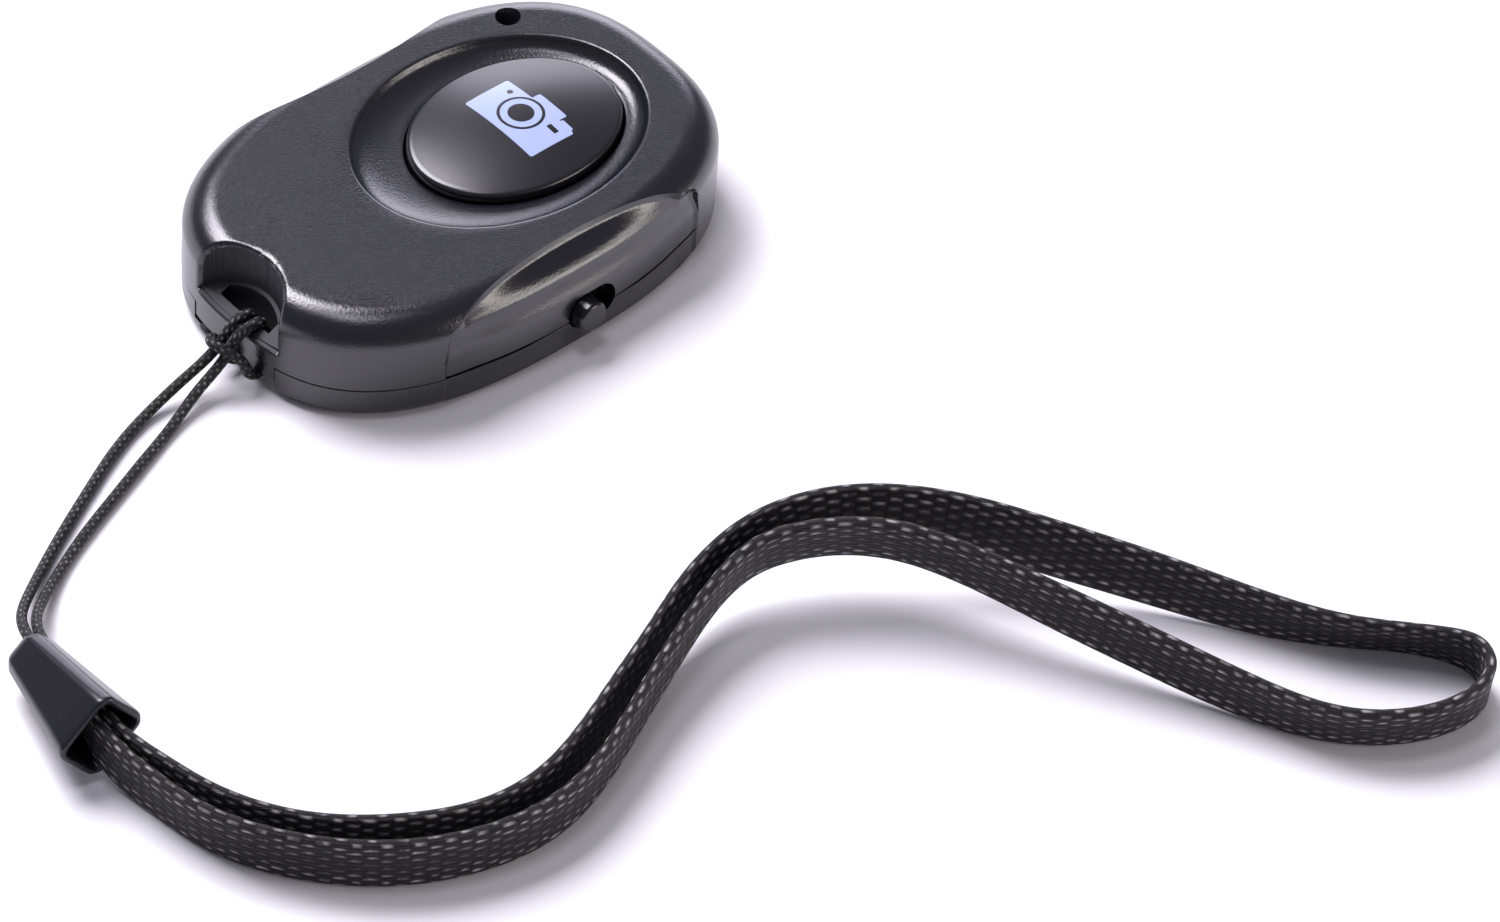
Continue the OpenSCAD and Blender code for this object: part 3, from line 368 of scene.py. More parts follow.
def bevelled_rectangle(size, bevel):
    """Closed ring of a rectangle with bevelled corners whose edges are a little rounded. In each direction
    the reach is 1 / (sum of d^n)^(1/n), a soft maximum over its sides and bevels, where d is the
    direction's part square to one of them divided by that one's distance."""
    t = np.linspace(0, 2 * np.pi, clasp_sides, endpoint=False)
    c, s = np.abs(np.cos(t)), np.abs(np.sin(t))
    half = size / 2
    reach = np.stack([c / half[0], s / half[1], (c + s) / (half.sum() - bevel)])
    soft_reach = (reach ** corner_sharpness).sum(0) ** (1 / corner_sharpness)
    return np.stack([np.cos(t), np.sin(t)], 1) / soft_reach[:, None]


def clasp_rings():
    """Rings from inside the narrow end out over the wedge to the mouth's rim and back in, each given by
    its distance along, inset and bevel in millimetres. A ring's size grows in proportion to the
    distance from the narrow end, less the inset."""
    stations = [(0.02, 1.35, 0.3), (0.04, 0.75, 0.5), (0.14, 0.5, 0.7), (0.34, 0.28, 0.8), (0.62, 0.12, 0.85),
                (0.95, 0.02, 0.85), (1.4, 0.0, 0.85), (3.0, 0.0, 0.85), (7.0, 0.0, 0.85), (11.0, 0.0, 0.85),
                (13.3, 0.0, 0.85), (13.65, 0.06, 0.8), (13.8, 0.2, 0.7), (13.8, 0.62, 0.4),
                (13.6, 0.78, 0.3), (11.0, 0.8, 0.3), (7.0, 0.8, 0.3), (4.0, 0.8, 0.3), (3.2, 1.3, 0.2)]
    rings = []
    for along, inset, bevel in stations:
        share = along * mm / clasp_length
        size = narrow + (mouth - narrow) * share - 2 * inset * mm
        ring = bevelled_rectangle(size, bevel * mm)
        rings.append(np.column_stack([np.full(len(ring), along * mm), ring]))
    return np.array(rings)


clasp_turned = (Matrix.Rotation(clasp_turn, 3, "Z") @ Matrix.Rotation(clasp_tilt, 3, "Y")
                @ Matrix.Rotation(clasp_roll, 3, "X"))
clasp_points = clasp_rings() @ np.array(clasp_turned).T + clasp_start
clasp = surface("strap_clasp_shell", clasp_points)
clasp_plastic = material("charcoal_clasp_plastic", Base_Color=(0.01, 0.01, 0.015, 1), Roughness=0.26)[0]
clasp.data.materials.append(clasp_plastic)
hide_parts("strap_clasp")
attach(clasp, "case")

# Top shell. Moulded in charcoal plastic with a fine spark texture. It carries the dished surround
# of the button, the scalloped side grips, the lanyard scoop and the bar that the cord hangs on.
half_w, half_l, oval_power = 17.7, 26.0, 2.67
case_height, roll_radius, parting, wall = 11.2, 3.1, 3.6, 1.8
wall_top = case_height - roll_radius
button_y, button_half = 7.5, np.array([8.6, 11.2])
dish_y, dish_half, dish_depth = 5.6, np.array([11.7, 14.9]), 1.45
opening_edge, ceiling_low, ceiling_high = 9.75, 8.35, 9.5
grip_radius, grip_reach, grip_y, grip_half = 57.0, 14.4, 1.0, 15.6
grip_depth, grip_drop, grip_bulge, grip_corner = 0.55, 0.45, 0.8, 4.0
grip_soft, grip_fall, grip_deepest, arc_margin = 0.42, 0.36, 2.5, 0.4
end_slack, end_step, end_reach, end_least = 0.1, 0.45, 3.2, 0.5
end_foot, end_bend, end_lean, end_curl = 5.0, 7.8, 0.14, 0.33
slope_hollow, slope_ease, shoulder_ease = 0.09, 1.2, 0.5
shoulder_in, shoulder_z, shoulder_foot = 0.8, wall_top + 1.2, wall_top - 0.4
flat_start, opening_round, opening_middle = 0.6, 0.2, 9.2
lip_width, lip_drop, lip_ease = 0.3, 0.06, 1.8
scoop_radius, scoop_y, scoop_wall, scoop_rim = 6.1, -28.2, 1.2, 0.4
ledge_height, ledge_lean = 5.4, math.radians(22)


def width_at(y, inset=0.0):
    """Half width of the oval outline at y: a(1 - |y/b|^n)^(1/n)."""
    share = np.minimum(1, np.abs(y) / (half_l - inset))
    return (half_w - inset) * np.maximum(0, 1 - share ** oval_power) ** (1 / oval_power)


def length_at(x, inset=0.0):
    """Half length of the oval outline at x, by the same formula."""
    share = np.minimum(1, np.abs(x) / (half_w - inset))
    return (half_l - inset) * np.maximum(0, 1 - share ** oval_power) ** (1 / oval_power)


def roll_height(inset):
    """Height of the rolled edge at an inset from the outline: a quarter circle up to the flat top."""
    reach = roll_radius - np.clip(inset, 0, roll_radius)
    return wall_top + np.sqrt(roll_radius ** 2 - reach ** 2)


def even_ring(x, y, z, turn):
    """Ring through the closed line x, y at one height, at the shares of its length given by turn."""
    run = np.concatenate([[0], np.cumsum(np.hypot(np.diff(x), np.diff(y)))])
    return np.column_stack([np.interp(turn * run[-1], run, x), np.interp(turn * run[-1], run, y),
                            np.full(len(turn), z)])


def oval_ring(inset, z, turn):
    """Ring of the outline drawn in by inset: (a sgn|cos t|^(2/n), b sgn|sin t|^(2/n))."""
    t = np.linspace(0, 2 * np.pi, 4001)
    c, s = np.cos(t), np.sin(t)
    return even_ring((half_w - inset) * np.sign(c) * np.abs(c) ** (2 / oval_power),
                     (half_l - inset) * np.sign(s) * np.abs(s) ** (2 / oval_power), z, turn)


def ellipse_ring(half, y, z, turn):
    """Ring of an ellipse of the given half axes, centred at y."""
    t = np.linspace(0, 2 * np.pi, 2001)
    return even_ring(half[0] * np.cos(t), y + half[1] * np.sin(t), z, turn)


def soft_step(x):
    """0 below 0, 1 above 1, and 3x^2 - 2x^3 between."""
    x = np.clip(x, 0, 1)
    return x * x * (3 - 2 * x)


def grip_share(y, z):
    """The grip's share of its full depth at a point of the case's side. It rises to a half just inside
    the grip's two ends, which lean inwards as they rise, and grows to the whole over grip_corner."""
    within = (grip_half + end_slack - end_lean * np.clip(z - end_foot, 0, end_bend - end_foot)
              - end_curl * np.clip(z - end_bend, 0, 3) ** 2 - np.abs(y - grip_y))
    near_end = np.abs(y - grip_y) > grip_half - end_reach
    within = np.where(near_end, within, np.maximum(within, end_least))
    return 0.5 * soft_step(within / end_step) + 0.5 * soft_step(within / grip_corner)


def grip_excess(x, y, z, fade):
    """How far a point stands outside the grip, as the smooth maximum of its distances beyond the slope
    from the arc to the shoulder, the shoulder itself and the bulging wall, and how far it lies beyond
    the arc in plan. The slope and the shoulder ease off with the square of the distance below them."""
    arc_end, least_width, least_drop = 20, 0.02, 0.1
    edge = width_at(y)
    most = edge - grip_depth * fade
    off = np.where(np.abs(y) < arc_end, y - grip_y, 0)
    plan = grip_reach + grip_radius - np.sqrt(grip_radius ** 2 - off ** 2)
    arc = np.minimum(plan, most)
    arc_z = roll_height(edge - arc) - grip_drop
    shoulder_x = np.minimum(np.maximum(edge - shoulder_in, arc + least_width), most + least_width)
    top_z = np.minimum(shoulder_z, arc_z - least_drop)
    along_x, along_z = shoulder_x - arc, top_z - arc_z
    slope = ((z - arc_z) * along_x - (x - arc) * along_z) / np.hypot(along_x, along_z)
    run = np.clip((x - arc) / np.maximum(along_x, 0.1), 0, 1)
    slope += slope_hollow * np.clip(along_x, 0, 1) * np.sin(np.pi * run)
    slope -= slope_ease * np.maximum(0, top_z - z) ** 2
    low_x, drop_z = most - shoulder_x, shoulder_foot - top_z
    shoulder = ((z - top_z) * low_x - (x - shoulder_x) * drop_z) / np.hypot(low_x, drop_z)
    shoulder -= shoulder_ease * np.maximum(0, shoulder_foot - z) ** 2
    height = np.clip(2 * z / shoulder_foot - 1, -1, 1)
    spread = np.clip(1 - ((y - grip_y) / grip_half) ** 2, 0, 1)
    bulged = x - most - grip_depth * fade * grip_bulge * spread * (1 - height ** 2)
    stack = np.stack([slope, shoulder, bulged]) / grip_soft
    top = stack.max(0)
    excess = grip_soft * (top + np.log(np.exp(stack - top).sum(0)))
    return excess, x - np.minimum(plan, edge - arc_margin)


def cut_grips(points, outward):
    """Moves each point inwards along the base surface's own normal until it lies on the grip's facets,
    by halving the distance again and again. Beyond the arc the depth sets in within grip_fall."""
    x, y, z = np.abs(points[..., 0]), points[..., 1], points[..., 2]
    nx, ny, nz = np.abs(outward[..., 0]), outward[..., 1], outward[..., 2]
    fade = grip_share(y, z)
    low, high = np.zeros(x.shape), np.full(x.shape, grip_deepest)
    halvings, touching = 22, 0.001
    for _ in range(halvings):
        half = (low + high) / 2
        out = grip_excess(x - half * nx, y - half * ny, z - half * nz, fade)[0] > 0
        low, high = np.where(out, half, low), np.where(out, high, half)
    beyond = grip_excess(x, y, z, fade)[1]
    ramp = 1 - (1 - np.clip(beyond / grip_fall, 0, 1)) ** 2
    depth = np.where((fade > 0) & (high > touching), high * ramp, 0)
    return points - np.stack([np.sign(points[..., 0]) * depth * nx, depth * ny, depth * nz], -1)


def outward_normals(grid):
    """Normal of each grid point, from the differences along and round the grid. One that would point
    well down is turned over."""
    across = np.roll(grid, -1, 1) - np.roll(grid, 1, 1)
    normal = unit(np.cross(np.gradient(grid, axis=0), across) + 1e-12)
    return np.where(normal[..., 2:3] < -0.2, -normal, normal)


def side_turns():
    """Shares of the outline's length for the grid's columns: close together at the side grips and the
    lanyard scoop and wider apart elsewhere, by equal steps of a weight summed along the outline. The
    columns next to the grips' ends are moved onto them."""
    end_weight, grip_weight, scoop_weight = 7.0, 3.0, 2.6
    even = np.linspace(0, 1, 6001)
    outline = oval_ring(0, 0, even)
    at_grip = (np.abs(outline[:, 1] - grip_y) < grip_half + 1.2) & (np.abs(outline[:, 0]) > 12)
    at_scoop = (outline[:, 1] < -20) & (np.abs(outline[:, 0]) < 7)
    at_end = at_grip & (np.abs(np.abs(outline[:, 1] - grip_y) - grip_half + 0.25) < 0.5)
    weight = np.select([at_end, at_grip, at_scoop], [end_weight, grip_weight, scoop_weight], 1.0)
    total = np.concatenate([[0], np.cumsum((weight[1:] + weight[:-1]) / 2)])
    shares = np.interp(np.linspace(0, total[-1], columns, endpoint=False), total, even)
    for side in (-1, 1):
        for end in (grip_y - grip_half, grip_y + grip_half):
            near = even[np.argmin(np.hypot(outline[:, 0] - side * width_at(end), outline[:, 1] - end))]
            shares[np.argmin(np.abs(shares - near))] = near
    return shares


def base_rings(down, turn):
    """Rings of the case before the grips, by the distance down its side from the top's edge: flat, then
    round the rolled edge, then down the wall."""
    rings = []
    for run in down:
        a = np.pi / 2 - np.clip(run / roll_radius, 0, np.pi / 2)
        inset = roll_radius * (1 - math.cos(a)) - min(run, 0)
        below = max(0, run - roll_radius * np.pi / 2)
        rings.append(oval_ring(inset, wall_top + roll_radius * math.sin(a) - below, turn))
    return np.array(rings)


def side_rows(turn):
    """Grid down the case's side with one row along the arc of each grip and close rows below it. Each
    column's distances are spread from the flat top to its own ridge and from there to the parting line."""
    foot_gap, fine_end = 0.06, 5
    foot = roll_radius * np.pi / 2 + wall_top - parting - foot_gap
    down = np.concatenate([np.linspace(-flat_start, fine_end, 190), np.linspace(fine_end, foot, 30)[1:]])
    base = base_rings(down, turn)
    y = base[..., 1]
    off = np.minimum(np.abs(y - grip_y), grip_half)
    plan = grip_reach + grip_radius - np.sqrt(grip_radius ** 2 - off ** 2)
    beyond = np.abs(base[..., 0]) - plan
    found = (beyond[-1] > 0) & (np.abs(y[-1] - grip_y) < grip_half)
    first = np.argmax(beyond > 0, 0)
    column = np.arange(len(turn))
    before, after = beyond[first - 1, column], beyond[first, column]
    ridge = down[first - 1] - before / (after - before) * (down[first] - down[first - 1])
    ridge = np.interp(column, column[found], ridge[found], period=len(turn))
    upper = -flat_start + (ridge + flat_start) * np.linspace(0, 1, 29)[:-1, None]
    close = ridge + np.array([0, 0.05, 0.1, 0.16, 0.24, 0.34, 0.46])[:, None]
    spread = 1.15
    lower = close[-1] + (foot - close[-1]) * (np.linspace(0, 1, 43)[1:, None] ** spread)
    rows = np.concatenate([upper, close, lower])
    grid = np.empty((len(rows), len(turn), 3))
    for k in range(len(turn)):
        for axis in range(3):
            grid[:, k, axis] = np.interp(rows[:, k], down, base[:, k, axis])
    return grid


columns = 740
turn = side_turns()
lip_out = ellipse_ring(dish_half + lip_width, dish_y, case_height, turn)
plateau = oval_ring(roll_radius + flat_start, case_height, turn)
opening_low = opening_edge - opening_round
skin = [ellipse_ring(button_half, button_y, z, turn) for z in (ceiling_low, opening_middle, opening_low)]
skin += [ellipse_ring(button_half + opening_round * (1 - math.cos(a)), button_y,
                      opening_low + opening_round * math.sin(a), turn) for a in (0.5, 1.0, 1.5)]
for s in (0.12, 0.25, 0.38, 0.5, 0.62, 0.72, 0.8, 0.87, 0.92, 0.955, 0.98):
    skin.append(ellipse_ring(button_half + opening_round + s * (dish_half - button_half - opening_round),
                             button_y + s * (dish_y - button_y),
                             opening_edge + (dish_depth - lip_drop) * (1 - math.sqrt(1 - s * s)), turn))
skin += [ellipse_ring(dish_half + out, dish_y, case_height - low, turn)
         for out, low in ((0.06, 0.08), (0.15, 0.02))]
skin += [lip_out + (plateau - lip_out) * (1 - (1 - s) ** lip_ease) for s in np.linspace(0, 1, 17)[:-1]]
skin = np.concatenate([skin, side_rows(turn)])
outward = outward_normals(skin)
scoop_near = np.hypot(skin[..., 0], skin[..., 1] - scoop_y) - scoop_radius
rounding = scoop_rim - np.sqrt(scoop_rim ** 2 - (scoop_rim - np.clip(scoop_near, 0, scoop_rim)) ** 2)
skin -= outward * (rounding * (skin[..., 2] > ledge_height))[..., None]
skin = cut_grips(skin, outward)
foot_in, wall_corner, ceiling_in, opening_wall = 0.07, 7.2, 2.4, 1.4
foot = skin[-1] * [1 - foot_in / half_w, 1 - foot_in / half_l, 0] + [0, 0, parting]
inside = [oval_ring(wall, parting, turn), oval_ring(wall, wall_corner, turn),
          oval_ring(wall + ceiling_in, ceiling_high, turn), ellipse_ring(dish_half, dish_y, ceiling_high, turn),
          ellipse_ring(button_half + opening_wall, button_y, ceiling_low, turn)]
top_grid = np.concatenate([skin, [foot], inside])
top_shell = surface("top_shell", top_grid[::-1] * mm, loop=True)


def prism(name, outline, span, axis=2):
    """Closed prism over an outline, carried along one axis between two values."""
    return surface(name, np.array([np.insert(outline, axis, at, axis=1) for at in span]) * mm)


def box(left, right, front, rear):
    """Outline of a rectangle."""
    return np.array([[left, front], [right, front], [right, rear], [left, rear]], float)


def circle(radius, centre=(0, 0), count=160, start=0.0, end=2 * np.pi):
    """Points of a circle, or of an arc if start and end say so."""
    a = np.linspace(start, end, count, endpoint=end - start < 6.28)
    return np.column_stack([centre[0] + radius * np.cos(a), centre[1] + radius * np.sin(a)])


def cut(piece, tool, operation="DIFFERENCE"):
    """Boolean with the tool, applied at once, after which the tool is gone."""
    modifier = piece.modifiers.new("cut", "BOOLEAN")
    modifier.operation = operation
    modifier.solver = "MANIFOLD"
    modifier.object = tool
    done = bpy.data.meshes.new_from_object(piece.evaluated_get(bpy.context.evaluated_depsgraph_get()))
    piece.modifiers.clear()
    piece.data = done
    bpy.data.objects.remove(tool)


def scoop_block():
    """Outline of the solid behind the scoop: an arc round the scoop's axis, closed by a line that keeps
    inside the end of the case."""
    inset = 0.6
    arc = circle(scoop_radius + scoop_wall, (0, scoop_y), 181, 0, np.pi)
    arc = arc[arc[:, 1] > -length_at(arc[:, 0], inset) + 0.05]
    x = np.linspace(arc[-1, 0] + 0.02, arc[0, 0] - 0.02, 41)
    return np.vstack([arc, np.column_stack([x, -length_at(x, inset)])])


def scoop_tool():
    """The scoop: a cylinder whose floor rises from the ledge at the end of the case."""
    ring = circle(scoop_radius, (0, scoop_y), 400)
    floor = ledge_height + (ring[:, 1] + half_l) * math.tan(ledge_lean)
    top = np.full(len(ring), 13.0)
    return surface("scoop", np.array([np.column_stack([ring, z]) for z in (floor, top)]) * mm)


def bar_edge(left, right):
    """Cutter that rounds the bar's upper front edge: a quarter circle carried along the outline at the
    end of the case."""
    a = np.linspace(0, np.pi / 2, 6)
    radius, above, outside, top = 0.28, 0.06, 0.6, 6.5
    section = np.column_stack([radius * (1 - np.cos(a)), ledge_height - radius * (1 - np.sin(a)) + above])
    section = np.vstack([section, [[radius, top], [-outside, top], [-outside, section[0, 1]]]])
    rings = [np.column_stack([np.full(len(section), x), section[:, 0] - length_at(x), section[:, 1]])
             for x in np.linspace(left, right, 60)]
    return surface("bar_edge", np.array(rings)[::-1] * mm)


far_below, far_above, block_top = -1, 9, 9.45
bar_left, bar_right, bar_bottom, bar_thick, bar_set = -6.0, 5.2, 1.9, 1.1, 0.12
bar_top, rounded_left, rounded_right = ledge_height - 0.3, -5.0, 4.9
eye_radius, eye_half, eye_front, eye_middle = scoop_radius - 0.35, 3.4, -24.7, -24.78
bar_x = np.linspace(bar_left, bar_right, 41)
bar_front = -length_at(bar_x) + bar_set
bar = np.vstack([np.column_stack([bar_x, bar_front]), np.column_stack([bar_x, bar_front + bar_thick])[::-1]])
eye = circle(eye_radius, (0, scoop_y), 91, 0.3, np.pi - 0.3)
eye = eye[(np.abs(eye[:, 0]) < eye_half) & (eye[:, 1] > eye_front)]
eye = np.vstack([eye, [[-eye_half, eye_front], [-1.5, eye_middle], [1.5, eye_middle], [eye_half, eye_front]]])
cut(top_shell, prism("scoop_block", scoop_block(), (parting, block_top)), "UNION")
cut(top_shell, prism("bar_block", bar, (bar_bottom, bar_top)), "UNION")
cut(top_shell, scoop_tool())
cut(top_shell, prism("eye", eye, (far_below, far_above)))
cut(top_shell, bar_edge(rounded_left, rounded_right))

# Openings of the top shell. A stadium-shaped slot lets the power switch's knob through the side
# wall and along its travel, and a round hole in the far corner shows the status lamp.
slot_y, slot_z, slot_travel, slot_radius, slot_span = 0.9, 4.1, 2.0, 1.85, (14.5, 22)
slot = np.vstack([circle(slot_radius, (slot_y + slot_travel, slot_z), 40, -np.pi / 2, np.pi / 2),
                  circle(slot_radius, (slot_y, slot_z), 40, np.pi / 2, 3 * np.pi / 2)])
lamp_at, lamp_radius, lamp_span = np.array([-11.3, 16.4, 11.0]), 1.2, (-4.2, 2.8)
lamp_way = np.array(Matrix.Rotation(math.radians(135), 3, "Z") @ Matrix.Rotation(math.radians(26), 3, "Y"))
lamp_hole = np.array([np.insert(circle(lamp_radius, count=64), 2, z, axis=1) for z in lamp_span])
cut(top_shell, prism("slot", slot, slot_span, axis=0))
cut(top_shell, surface("lamp_hole", (lamp_hole @ lamp_way.T + lamp_at) * mm))

# Plastic of the case. Charcoal with a satin gloss and a fine grain in relief; the faces of the
# lanyard scoop are less polished.
case_plastic, tree, shader = material("charcoal_case_plastic", Base_Color=(0.006, 0.006, 0.01, 1),
                                      Roughness=0.22, Specular_IOR_Level=0.85)
place = tree.nodes.new("ShaderNodeTexCoord")
grain = tree.nodes.new("ShaderNodeTexNoise")
grain.inputs["Scale"].default_value = 5000
grain.inputs["Detail"].default_value = 3
tree.links.new(place.outputs["Object"], grain.inputs["Vector"])
tree.links.new(bump(tree, grain.outputs["Fac"], 0.03 * mm), shader.inputs["Normal"])
ledge_plastic = material("case_plastic_in_the_scoop", Base_Color=(0.012, 0.012, 0.017, 1), Roughness=0.55,
                         Specular_IOR_Level=0.35)[0]
sharp_angle = math.radians(38)


def finish_shell(piece, node):
    """Gives a shell its plastic, keeps its moulded edges sharp and puts it in its node's place. The
    scoop's own faces, which lie on its cylinder or inside it, are less polished."""
    piece.data.materials.clear()
    piece.data.materials.append(case_plastic)
    piece.data.materials.append(ledge_plastic)
    middle = np.empty(len(piece.data.polygons) * 3)
    piece.data.polygons.foreach_get("center", middle)
    middle = middle.reshape(-1, 3) / mm
    front, low, high = -26.3, 5.0, 10.2
    in_scoop = (np.hypot(middle[:, 0], middle[:, 1] - scoop_y) < scoop_radius + 0.03) & (middle[:, 1] > front)
    on_ledge = in_scoop & (middle[:, 2] > low) & (middle[:, 2] < high)
    piece.data.polygons.foreach_set("material_index", on_ledge.astype(np.int32))
    piece.data.set_sharp_from_angle(angle=sharp_angle)
    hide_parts(node)
    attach(piece, "case")


finish_shell(top_shell, "top_case")

# Back cover. The lower half of the case in the same plastic: a tray with a rounded bottom edge and a
# rim that snaps up inside the top shell. It is notched at the lanyard end for the cord and the bar.
base_radius, floor_thick, rim_inset, rim_wall, rim_top = 1.4, 1.4, 1.95, 0.9, 4.7
cover_top, cover_gap, cover_round, underside_in = parting - 0.1, 0.05, 0.12, 2.2
cover = [oval_ring(cover_gap + cover_round * (1 - math.cos(a)), cover_top - cover_round * (1 - math.sin(a)), turn)
         for a in np.radians((80, 55, 30, 10))]
cover += [oval_ring(cover_gap, z, turn) for z in np.linspace(cover_top - cover_round, base_radius, 13)]
cover += [oval_ring(cover_gap + base_radius * (1 - math.cos(a)), base_radius * (1 - math.sin(a)), turn)
          for a in np.radians(np.linspace(0, 88, 13)[1:])]
cover = np.array(cover)
cover = cut_grips(cover, outward_normals(cover))
inner = [oval_ring(rim_inset + rim_wall, floor_thick, turn), oval_ring(rim_inset + rim_wall, rim_top, turn),
         oval_ring(rim_inset, rim_top, turn), oval_ring(rim_inset, cover_top, turn)]
underside = oval_ring(underside_in, 0.0, turn)
back_shell = surface("back_shell", np.concatenate([inner, cover, [underside]])[::-1] * mm)
block_play, bar_play, bar_drop, end_span = 0.1, 0.15, 0.45, (-28, -24)
switch_room, switch_floor = box(11.8, 15.85, -2.4, 6.2), 2.3
block_room = circle(scoop_radius + scoop_wall + block_play, (0, scoop_y))
bar_room = box(bar_left - bar_play, bar_right + bar_play, *end_span)
notch = np.array([[-3.1, -1], [-2.85, 0.3], [-2.8, 1], [-2.8, 5], [5.35, 5], [5.35, 1.7], [5.42, 1.25],
                  [5.6, 0.85], [5.88, 0.5], [6.25, 0.25], [6.6, 0.12], [6.7, -1]])
cut(back_shell, prism("block_room", block_room, (cover_top, far_above)))
cut(back_shell, prism("eye_room", circle(eye_radius, (0, scoop_y)), (far_below, far_above)))
cut(back_shell, prism("bar_room", bar_room, (bar_bottom - bar_drop, far_above)))
cut(back_shell, prism("notch", notch, end_span, axis=1))
cut(back_shell, prism("slot", slot, slot_span, axis=0))
cut(back_shell, prism("switch_room", switch_room, (switch_floor, far_above)))
finish_shell(back_shell, "back_cover")

# Shutter button. A glossy black moulded cap, domed, with a small rounded edge; it stands in the
# opening with a narrow gap round it. A camera pictogram is printed on it in pale blue.
button_gap, dome_inset = 0.2, 0.75
skirt = button_half - button_gap
button_edge, dome_rise, edge_round = 10.75, 0.9, 0.5
flange_top, flange_thick, flange_out = 8.25, 0.8, 0.7
skirt_thick, dome_drop = 1.2, 0.02
button_turn = np.linspace(0, 1, 240, endpoint=False)
cap = [(skirt - skirt_thick, button_edge - skirt_thick), (skirt - skirt_thick, flange_top - flange_thick),
       (skirt + flange_out, flange_top - flange_thick), (skirt + flange_out, flange_top), (skirt, flange_top)]
cap += [(skirt, z) for z in np.linspace(flange_top, button_edge - edge_round, 6)[1:]]
cap += [(skirt - edge_round * (1 - math.cos(a)), button_edge - edge_round * (1 - math.sin(a)))
        for a in np.radians((10, 20, 32, 44, 56, 66, 75))]
cap += [((skirt - edge_round * dome_inset) * s, button_edge - dome_drop + dome_rise * (1 - s ** 2))
        for s in np.append(np.linspace(0.97, 0.1, 24), 0.03)]
cap_rings = [ellipse_ring(half, button_y, z, button_turn) for half, z in cap]
button = surface("shutter_cap", np.array(cap_rings) * mm)
button_plastic, tree, shader = material("gloss_black_button", Roughness=0.26, Specular_IOR_Level=0.75)
place = tree.nodes.new("ShaderNodeTexCoord")
parts = tree.nodes.new("ShaderNodeSeparateXYZ")
tree.links.new(place.outputs["Object"], parts.inputs[0])
at_x = math_node(tree, "MULTIPLY", parts.outputs[0], 1 / mm)
at_y = math_node(tree, "MULTIPLY", parts.outputs[1], 1 / mm)


def printed(kind, centre, size, corner=0.0):
    """Mask of a disc of the given radius, or of a box of the given half sizes with rounded corners:
    the points whose distance from the centre, or from the box drawn in by the corner, is small."""
    x = math_node(tree, "ABSOLUTE", math_node(tree, "SUBTRACT", at_x, centre[0]))
    y = math_node(tree, "ABSOLUTE", math_node(tree, "SUBTRACT", at_y, centre[1]))
    if kind == "box":
        x = math_node(tree, "MAXIMUM", math_node(tree, "SUBTRACT", x, size[0] - corner), 0.0)
        y = math_node(tree, "MAXIMUM", math_node(tree, "SUBTRACT", y, size[1] - corner), 0.0)
    reach = math_node(tree, "ADD", math_node(tree, "MULTIPLY", x, x), math_node(tree, "MULTIPLY", y, y))
    reach = math_node(tree, "SQRT", reach)
    return math_node(tree, "LESS_THAN", reach, corner if kind == "box" else size)


picture = printed("box", (0.05, 7.95), (4.65, 2.6), 0.25)
for centre, size in (((0.75, 10.75), (1.9, 0.75)), ((3.55, 10.5), (0.75, 0.35))):
    picture = math_node(tree, "MAXIMUM", picture, printed("box", centre, size, 0.2))
lens_middle = (-0.2, 8.35)
unprinted = math_node(tree, "SUBTRACT", printed("disc", lens_middle, 2.25), printed("disc", lens_middle, 1.95))
for mark in (printed("disc", lens_middle, 1.25), printed("disc", (-3.1, 9.55), 0.3),
             printed("box", (3.15, 9.3), (0.6, 0.28), 0.12)):
    unprinted = math_node(tree, "MAXIMUM", unprinted, mark)
picture = math_node(tree, "MULTIPLY", picture, math_node(tree, "SUBTRACT", 1.0, unprinted))
dome_foot = 10.5 * mm
on_dome = math_node(tree, "GREATER_THAN", parts.outputs[2], dome_foot)
picture = math_node(tree, "MULTIPLY", picture, on_dome)
cap_colour = colour_between(tree, picture, (0.006, 0.006, 0.009), (0.36, 0.43, 0.70))
tree.links.new(cap_colour, shader.inputs["Base Color"])
button.data.materials.append(button_plastic)
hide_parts("shutter_button")
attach(button, "button")

# Power switch knob. A small round peg of black plastic on the slide switch, reached through the
# slot in the grip, with a softly rounded face.
knob_y, knob_z, knob_radius, knob_in, knob_tip, knob_edge = 0.9, 4.1, 1.6, 15.6, 18.99, 0.35
neck_radius, neck_in, centre_radius, knob_sides = 1.05, 12.9, 0.02, 72
slider_half, slider_low, slider_high, slider_span = 1.7, 1.15, 1.5, (12.7, 15.2)
profile = [(centre_radius, neck_in), (neck_radius, neck_in), (neck_radius, knob_in), (knob_radius, knob_in),
           (knob_radius, knob_tip - knob_edge)]
profile += [(knob_radius - knob_edge * (1 - math.cos(a)), knob_tip - knob_edge * (1 - math.sin(a)))
            for a in np.radians((15, 30, 45, 60, 75, 90))]
profile = np.array(profile + [(0.9, knob_tip), (0.4, knob_tip)])
radius, knob_x = profile[:, :1], np.repeat(profile[:, 1:], knob_sides, 1)
angle = np.linspace(0, 2 * np.pi, knob_sides, endpoint=False)
knob_points = np.stack([knob_x, knob_y + radius * np.cos(angle), knob_z + radius * np.sin(angle)], -1)
knob = surface("slide_knob", knob_points * mm)
slider_side = box(knob_y - slider_half, knob_y + slider_half, knob_z - slider_low, knob_z + slider_high)
slider = prism("slider", slider_side, slider_span, axis=0)
cut(knob, slider, "UNION")
knob_plastic = material("gloss_black_cap", Base_Color=(0.006, 0.006, 0.008, 1), Roughness=0.2)[0]
knob.data.materials.clear()
knob.data.materials.append(knob_plastic)
knob.data.set_sharp_from_angle(angle=sharp_angle)
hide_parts("power_switch_knob")
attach(knob, "switch")

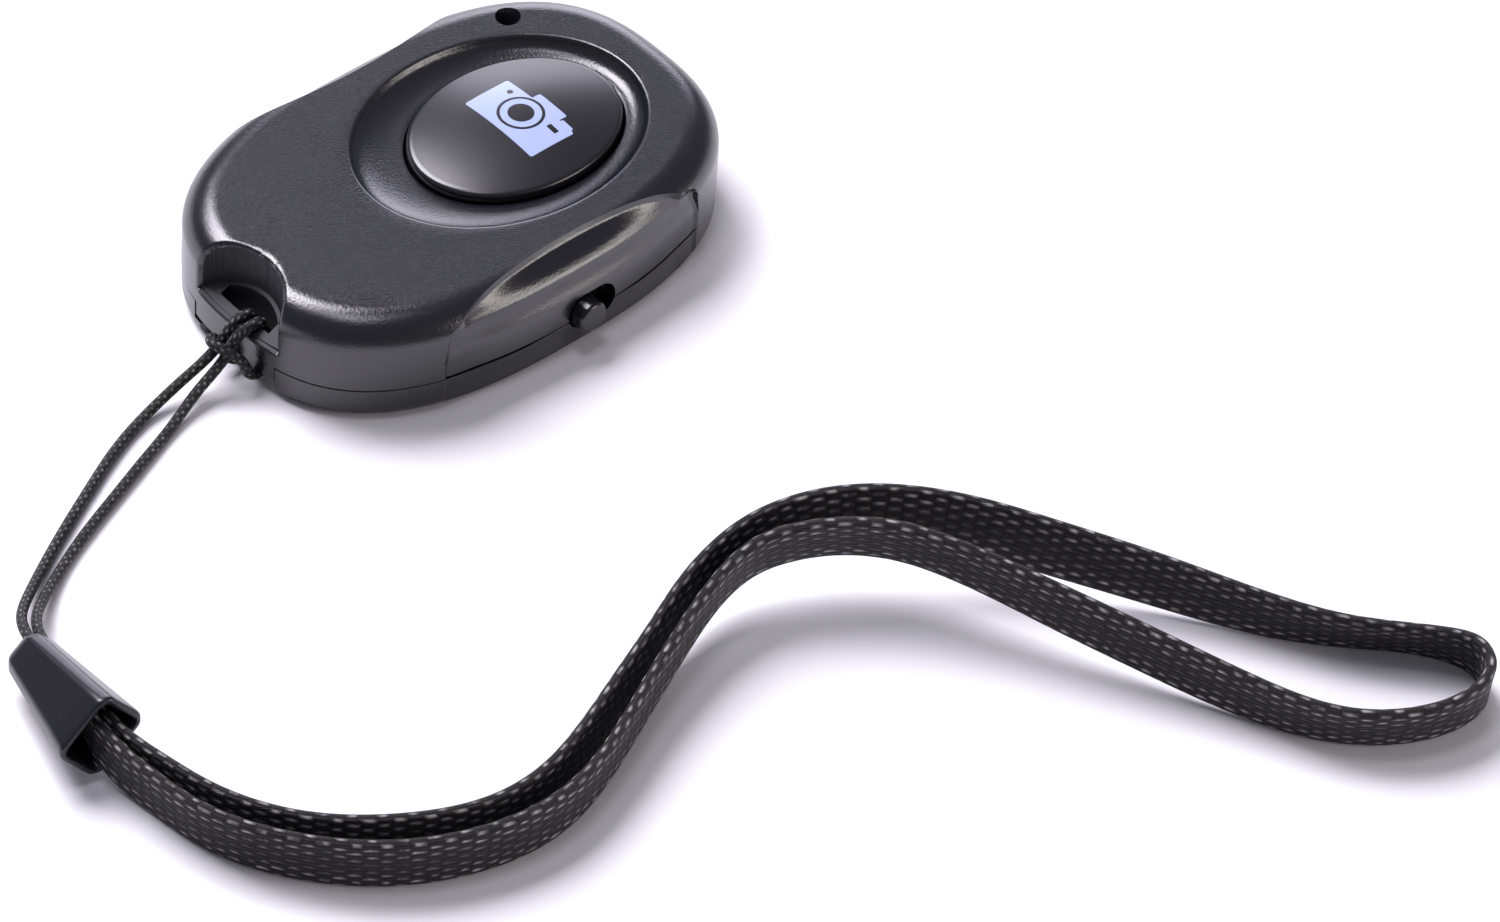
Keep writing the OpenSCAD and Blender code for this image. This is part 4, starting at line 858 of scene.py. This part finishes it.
# Parts inside. The board and what is soldered to it, the slide switch, the tact switch under the
# button and the coin cell keep the plain finishes of their kinds; the closed case hides them.
finishes = {
    "green_solder_mask": ((0.02, 0.16, 0.07), 0, 0.35, ["main_board"]),
    "gilt_copper": ((0.75, 0.5, 0.28), 1, 0.3, ["antenna_trace", "cell_contact"]),
    "black_moulding": ((0.02, 0.02, 0.02), 0, 0.5, ["bluetooth_chip", "tact_switch_base", "tact_plunger",
                                                   "power_switch_base", "coin_cell_gasket"]),
    "tinned_steel": ((0.72, 0.72, 0.72), 1, 0.3, ["crystal", "board_screws", "tact_switch_cover",
                                                 "tact_switch_legs", "tact_dome", "power_switch_frame",
                                                 "power_switch_pins", "cell_clip"]),
    "tan_ceramic": ((0.5, 0.4, 0.3), 0, 0.5, ["chip_components"]),
    "white_lamp_body": ((0.85, 0.85, 0.8), 0, 0.45, ["status_lamp"]),
    "clear_blue_resin": ((0.1, 0.12, 0.16), 0, 0.1, ["lamp_lens"]),
    "nickel_plate": ((0.65, 0.65, 0.66), 1, 0.25, ["coin_cell_can", "coin_cell_cap"])}
for name, (colour, metallic, rough, nodes) in finishes.items():
    finish = material(name, Base_Color=(*colour, 1), Metallic=metallic, Roughness=rough)[0]
    for node in nodes:
        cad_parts[node].data.materials.clear()
        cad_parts[node].data.materials.append(finish)

# Floor and light. A white table under one large soft lamp high on the left and a smaller one overhead,
# so that the shadows fall softly to the lower right, with a pale card low behind the remote and
# another at the right.
floor_reach = 3.0
floor_grid = floor_reach * np.array([[[-1, -1, 0], [1, -1, 0]], [[-1, 1, 0], [1, 1, 0]]])
floor = surface("table", floor_grid, wrap=False)
table_white = material("table_white", Base_Color=(0.86, 0.86, 0.88, 1), Roughness=0.8)[0]
floor.data.materials.append(table_white)
world = bpy.data.worlds.new("studio")
bpy.context.scene.world = world
world.use_nodes = True
world.node_tree.nodes["Background"].inputs[0].default_value = (0.95, 0.93, 1.08, 1)
world.node_tree.nodes["Background"].inputs[1].default_value = 0.2


def soft_lamp(name, toward, distance, size, power, colour=(1, 0.97, 1.06)):
    """Square area lamp at a distance in a direction from the middle of the remote, facing it."""
    lamp = bpy.data.objects.new(name, bpy.data.lights.new(name, "AREA"))
    lamp.data.size = size
    lamp.data.energy = power
    lamp.data.color = colour
    aim = unit(np.array(toward, float))
    side = unit(np.cross([0, 1, 0], aim))
    middle = np.array([0.03, -0.01, 0])
    lamp.matrix_world = placed(side, np.cross(aim, side), aim, middle + aim * distance)
    bpy.context.scene.collection.objects.link(lamp)


soft_lamp("key_lamp", (-0.58, -0.03, 0.81), 0.9, 0.5, 11.5)
soft_lamp("top_lamp", (-0.03, -0.1, 0.99), 0.9, 0.2, 1.0)
soft_lamp("back_card", (-0.66, 0.66, 0.26), 1.0, 0.5, 3, (0.97, 0.95, 1.1))
soft_lamp("side_card", (0.86, 0.5, 0.16), 0.7, 0.36, 2.5, (1, 0.93, 0.88))
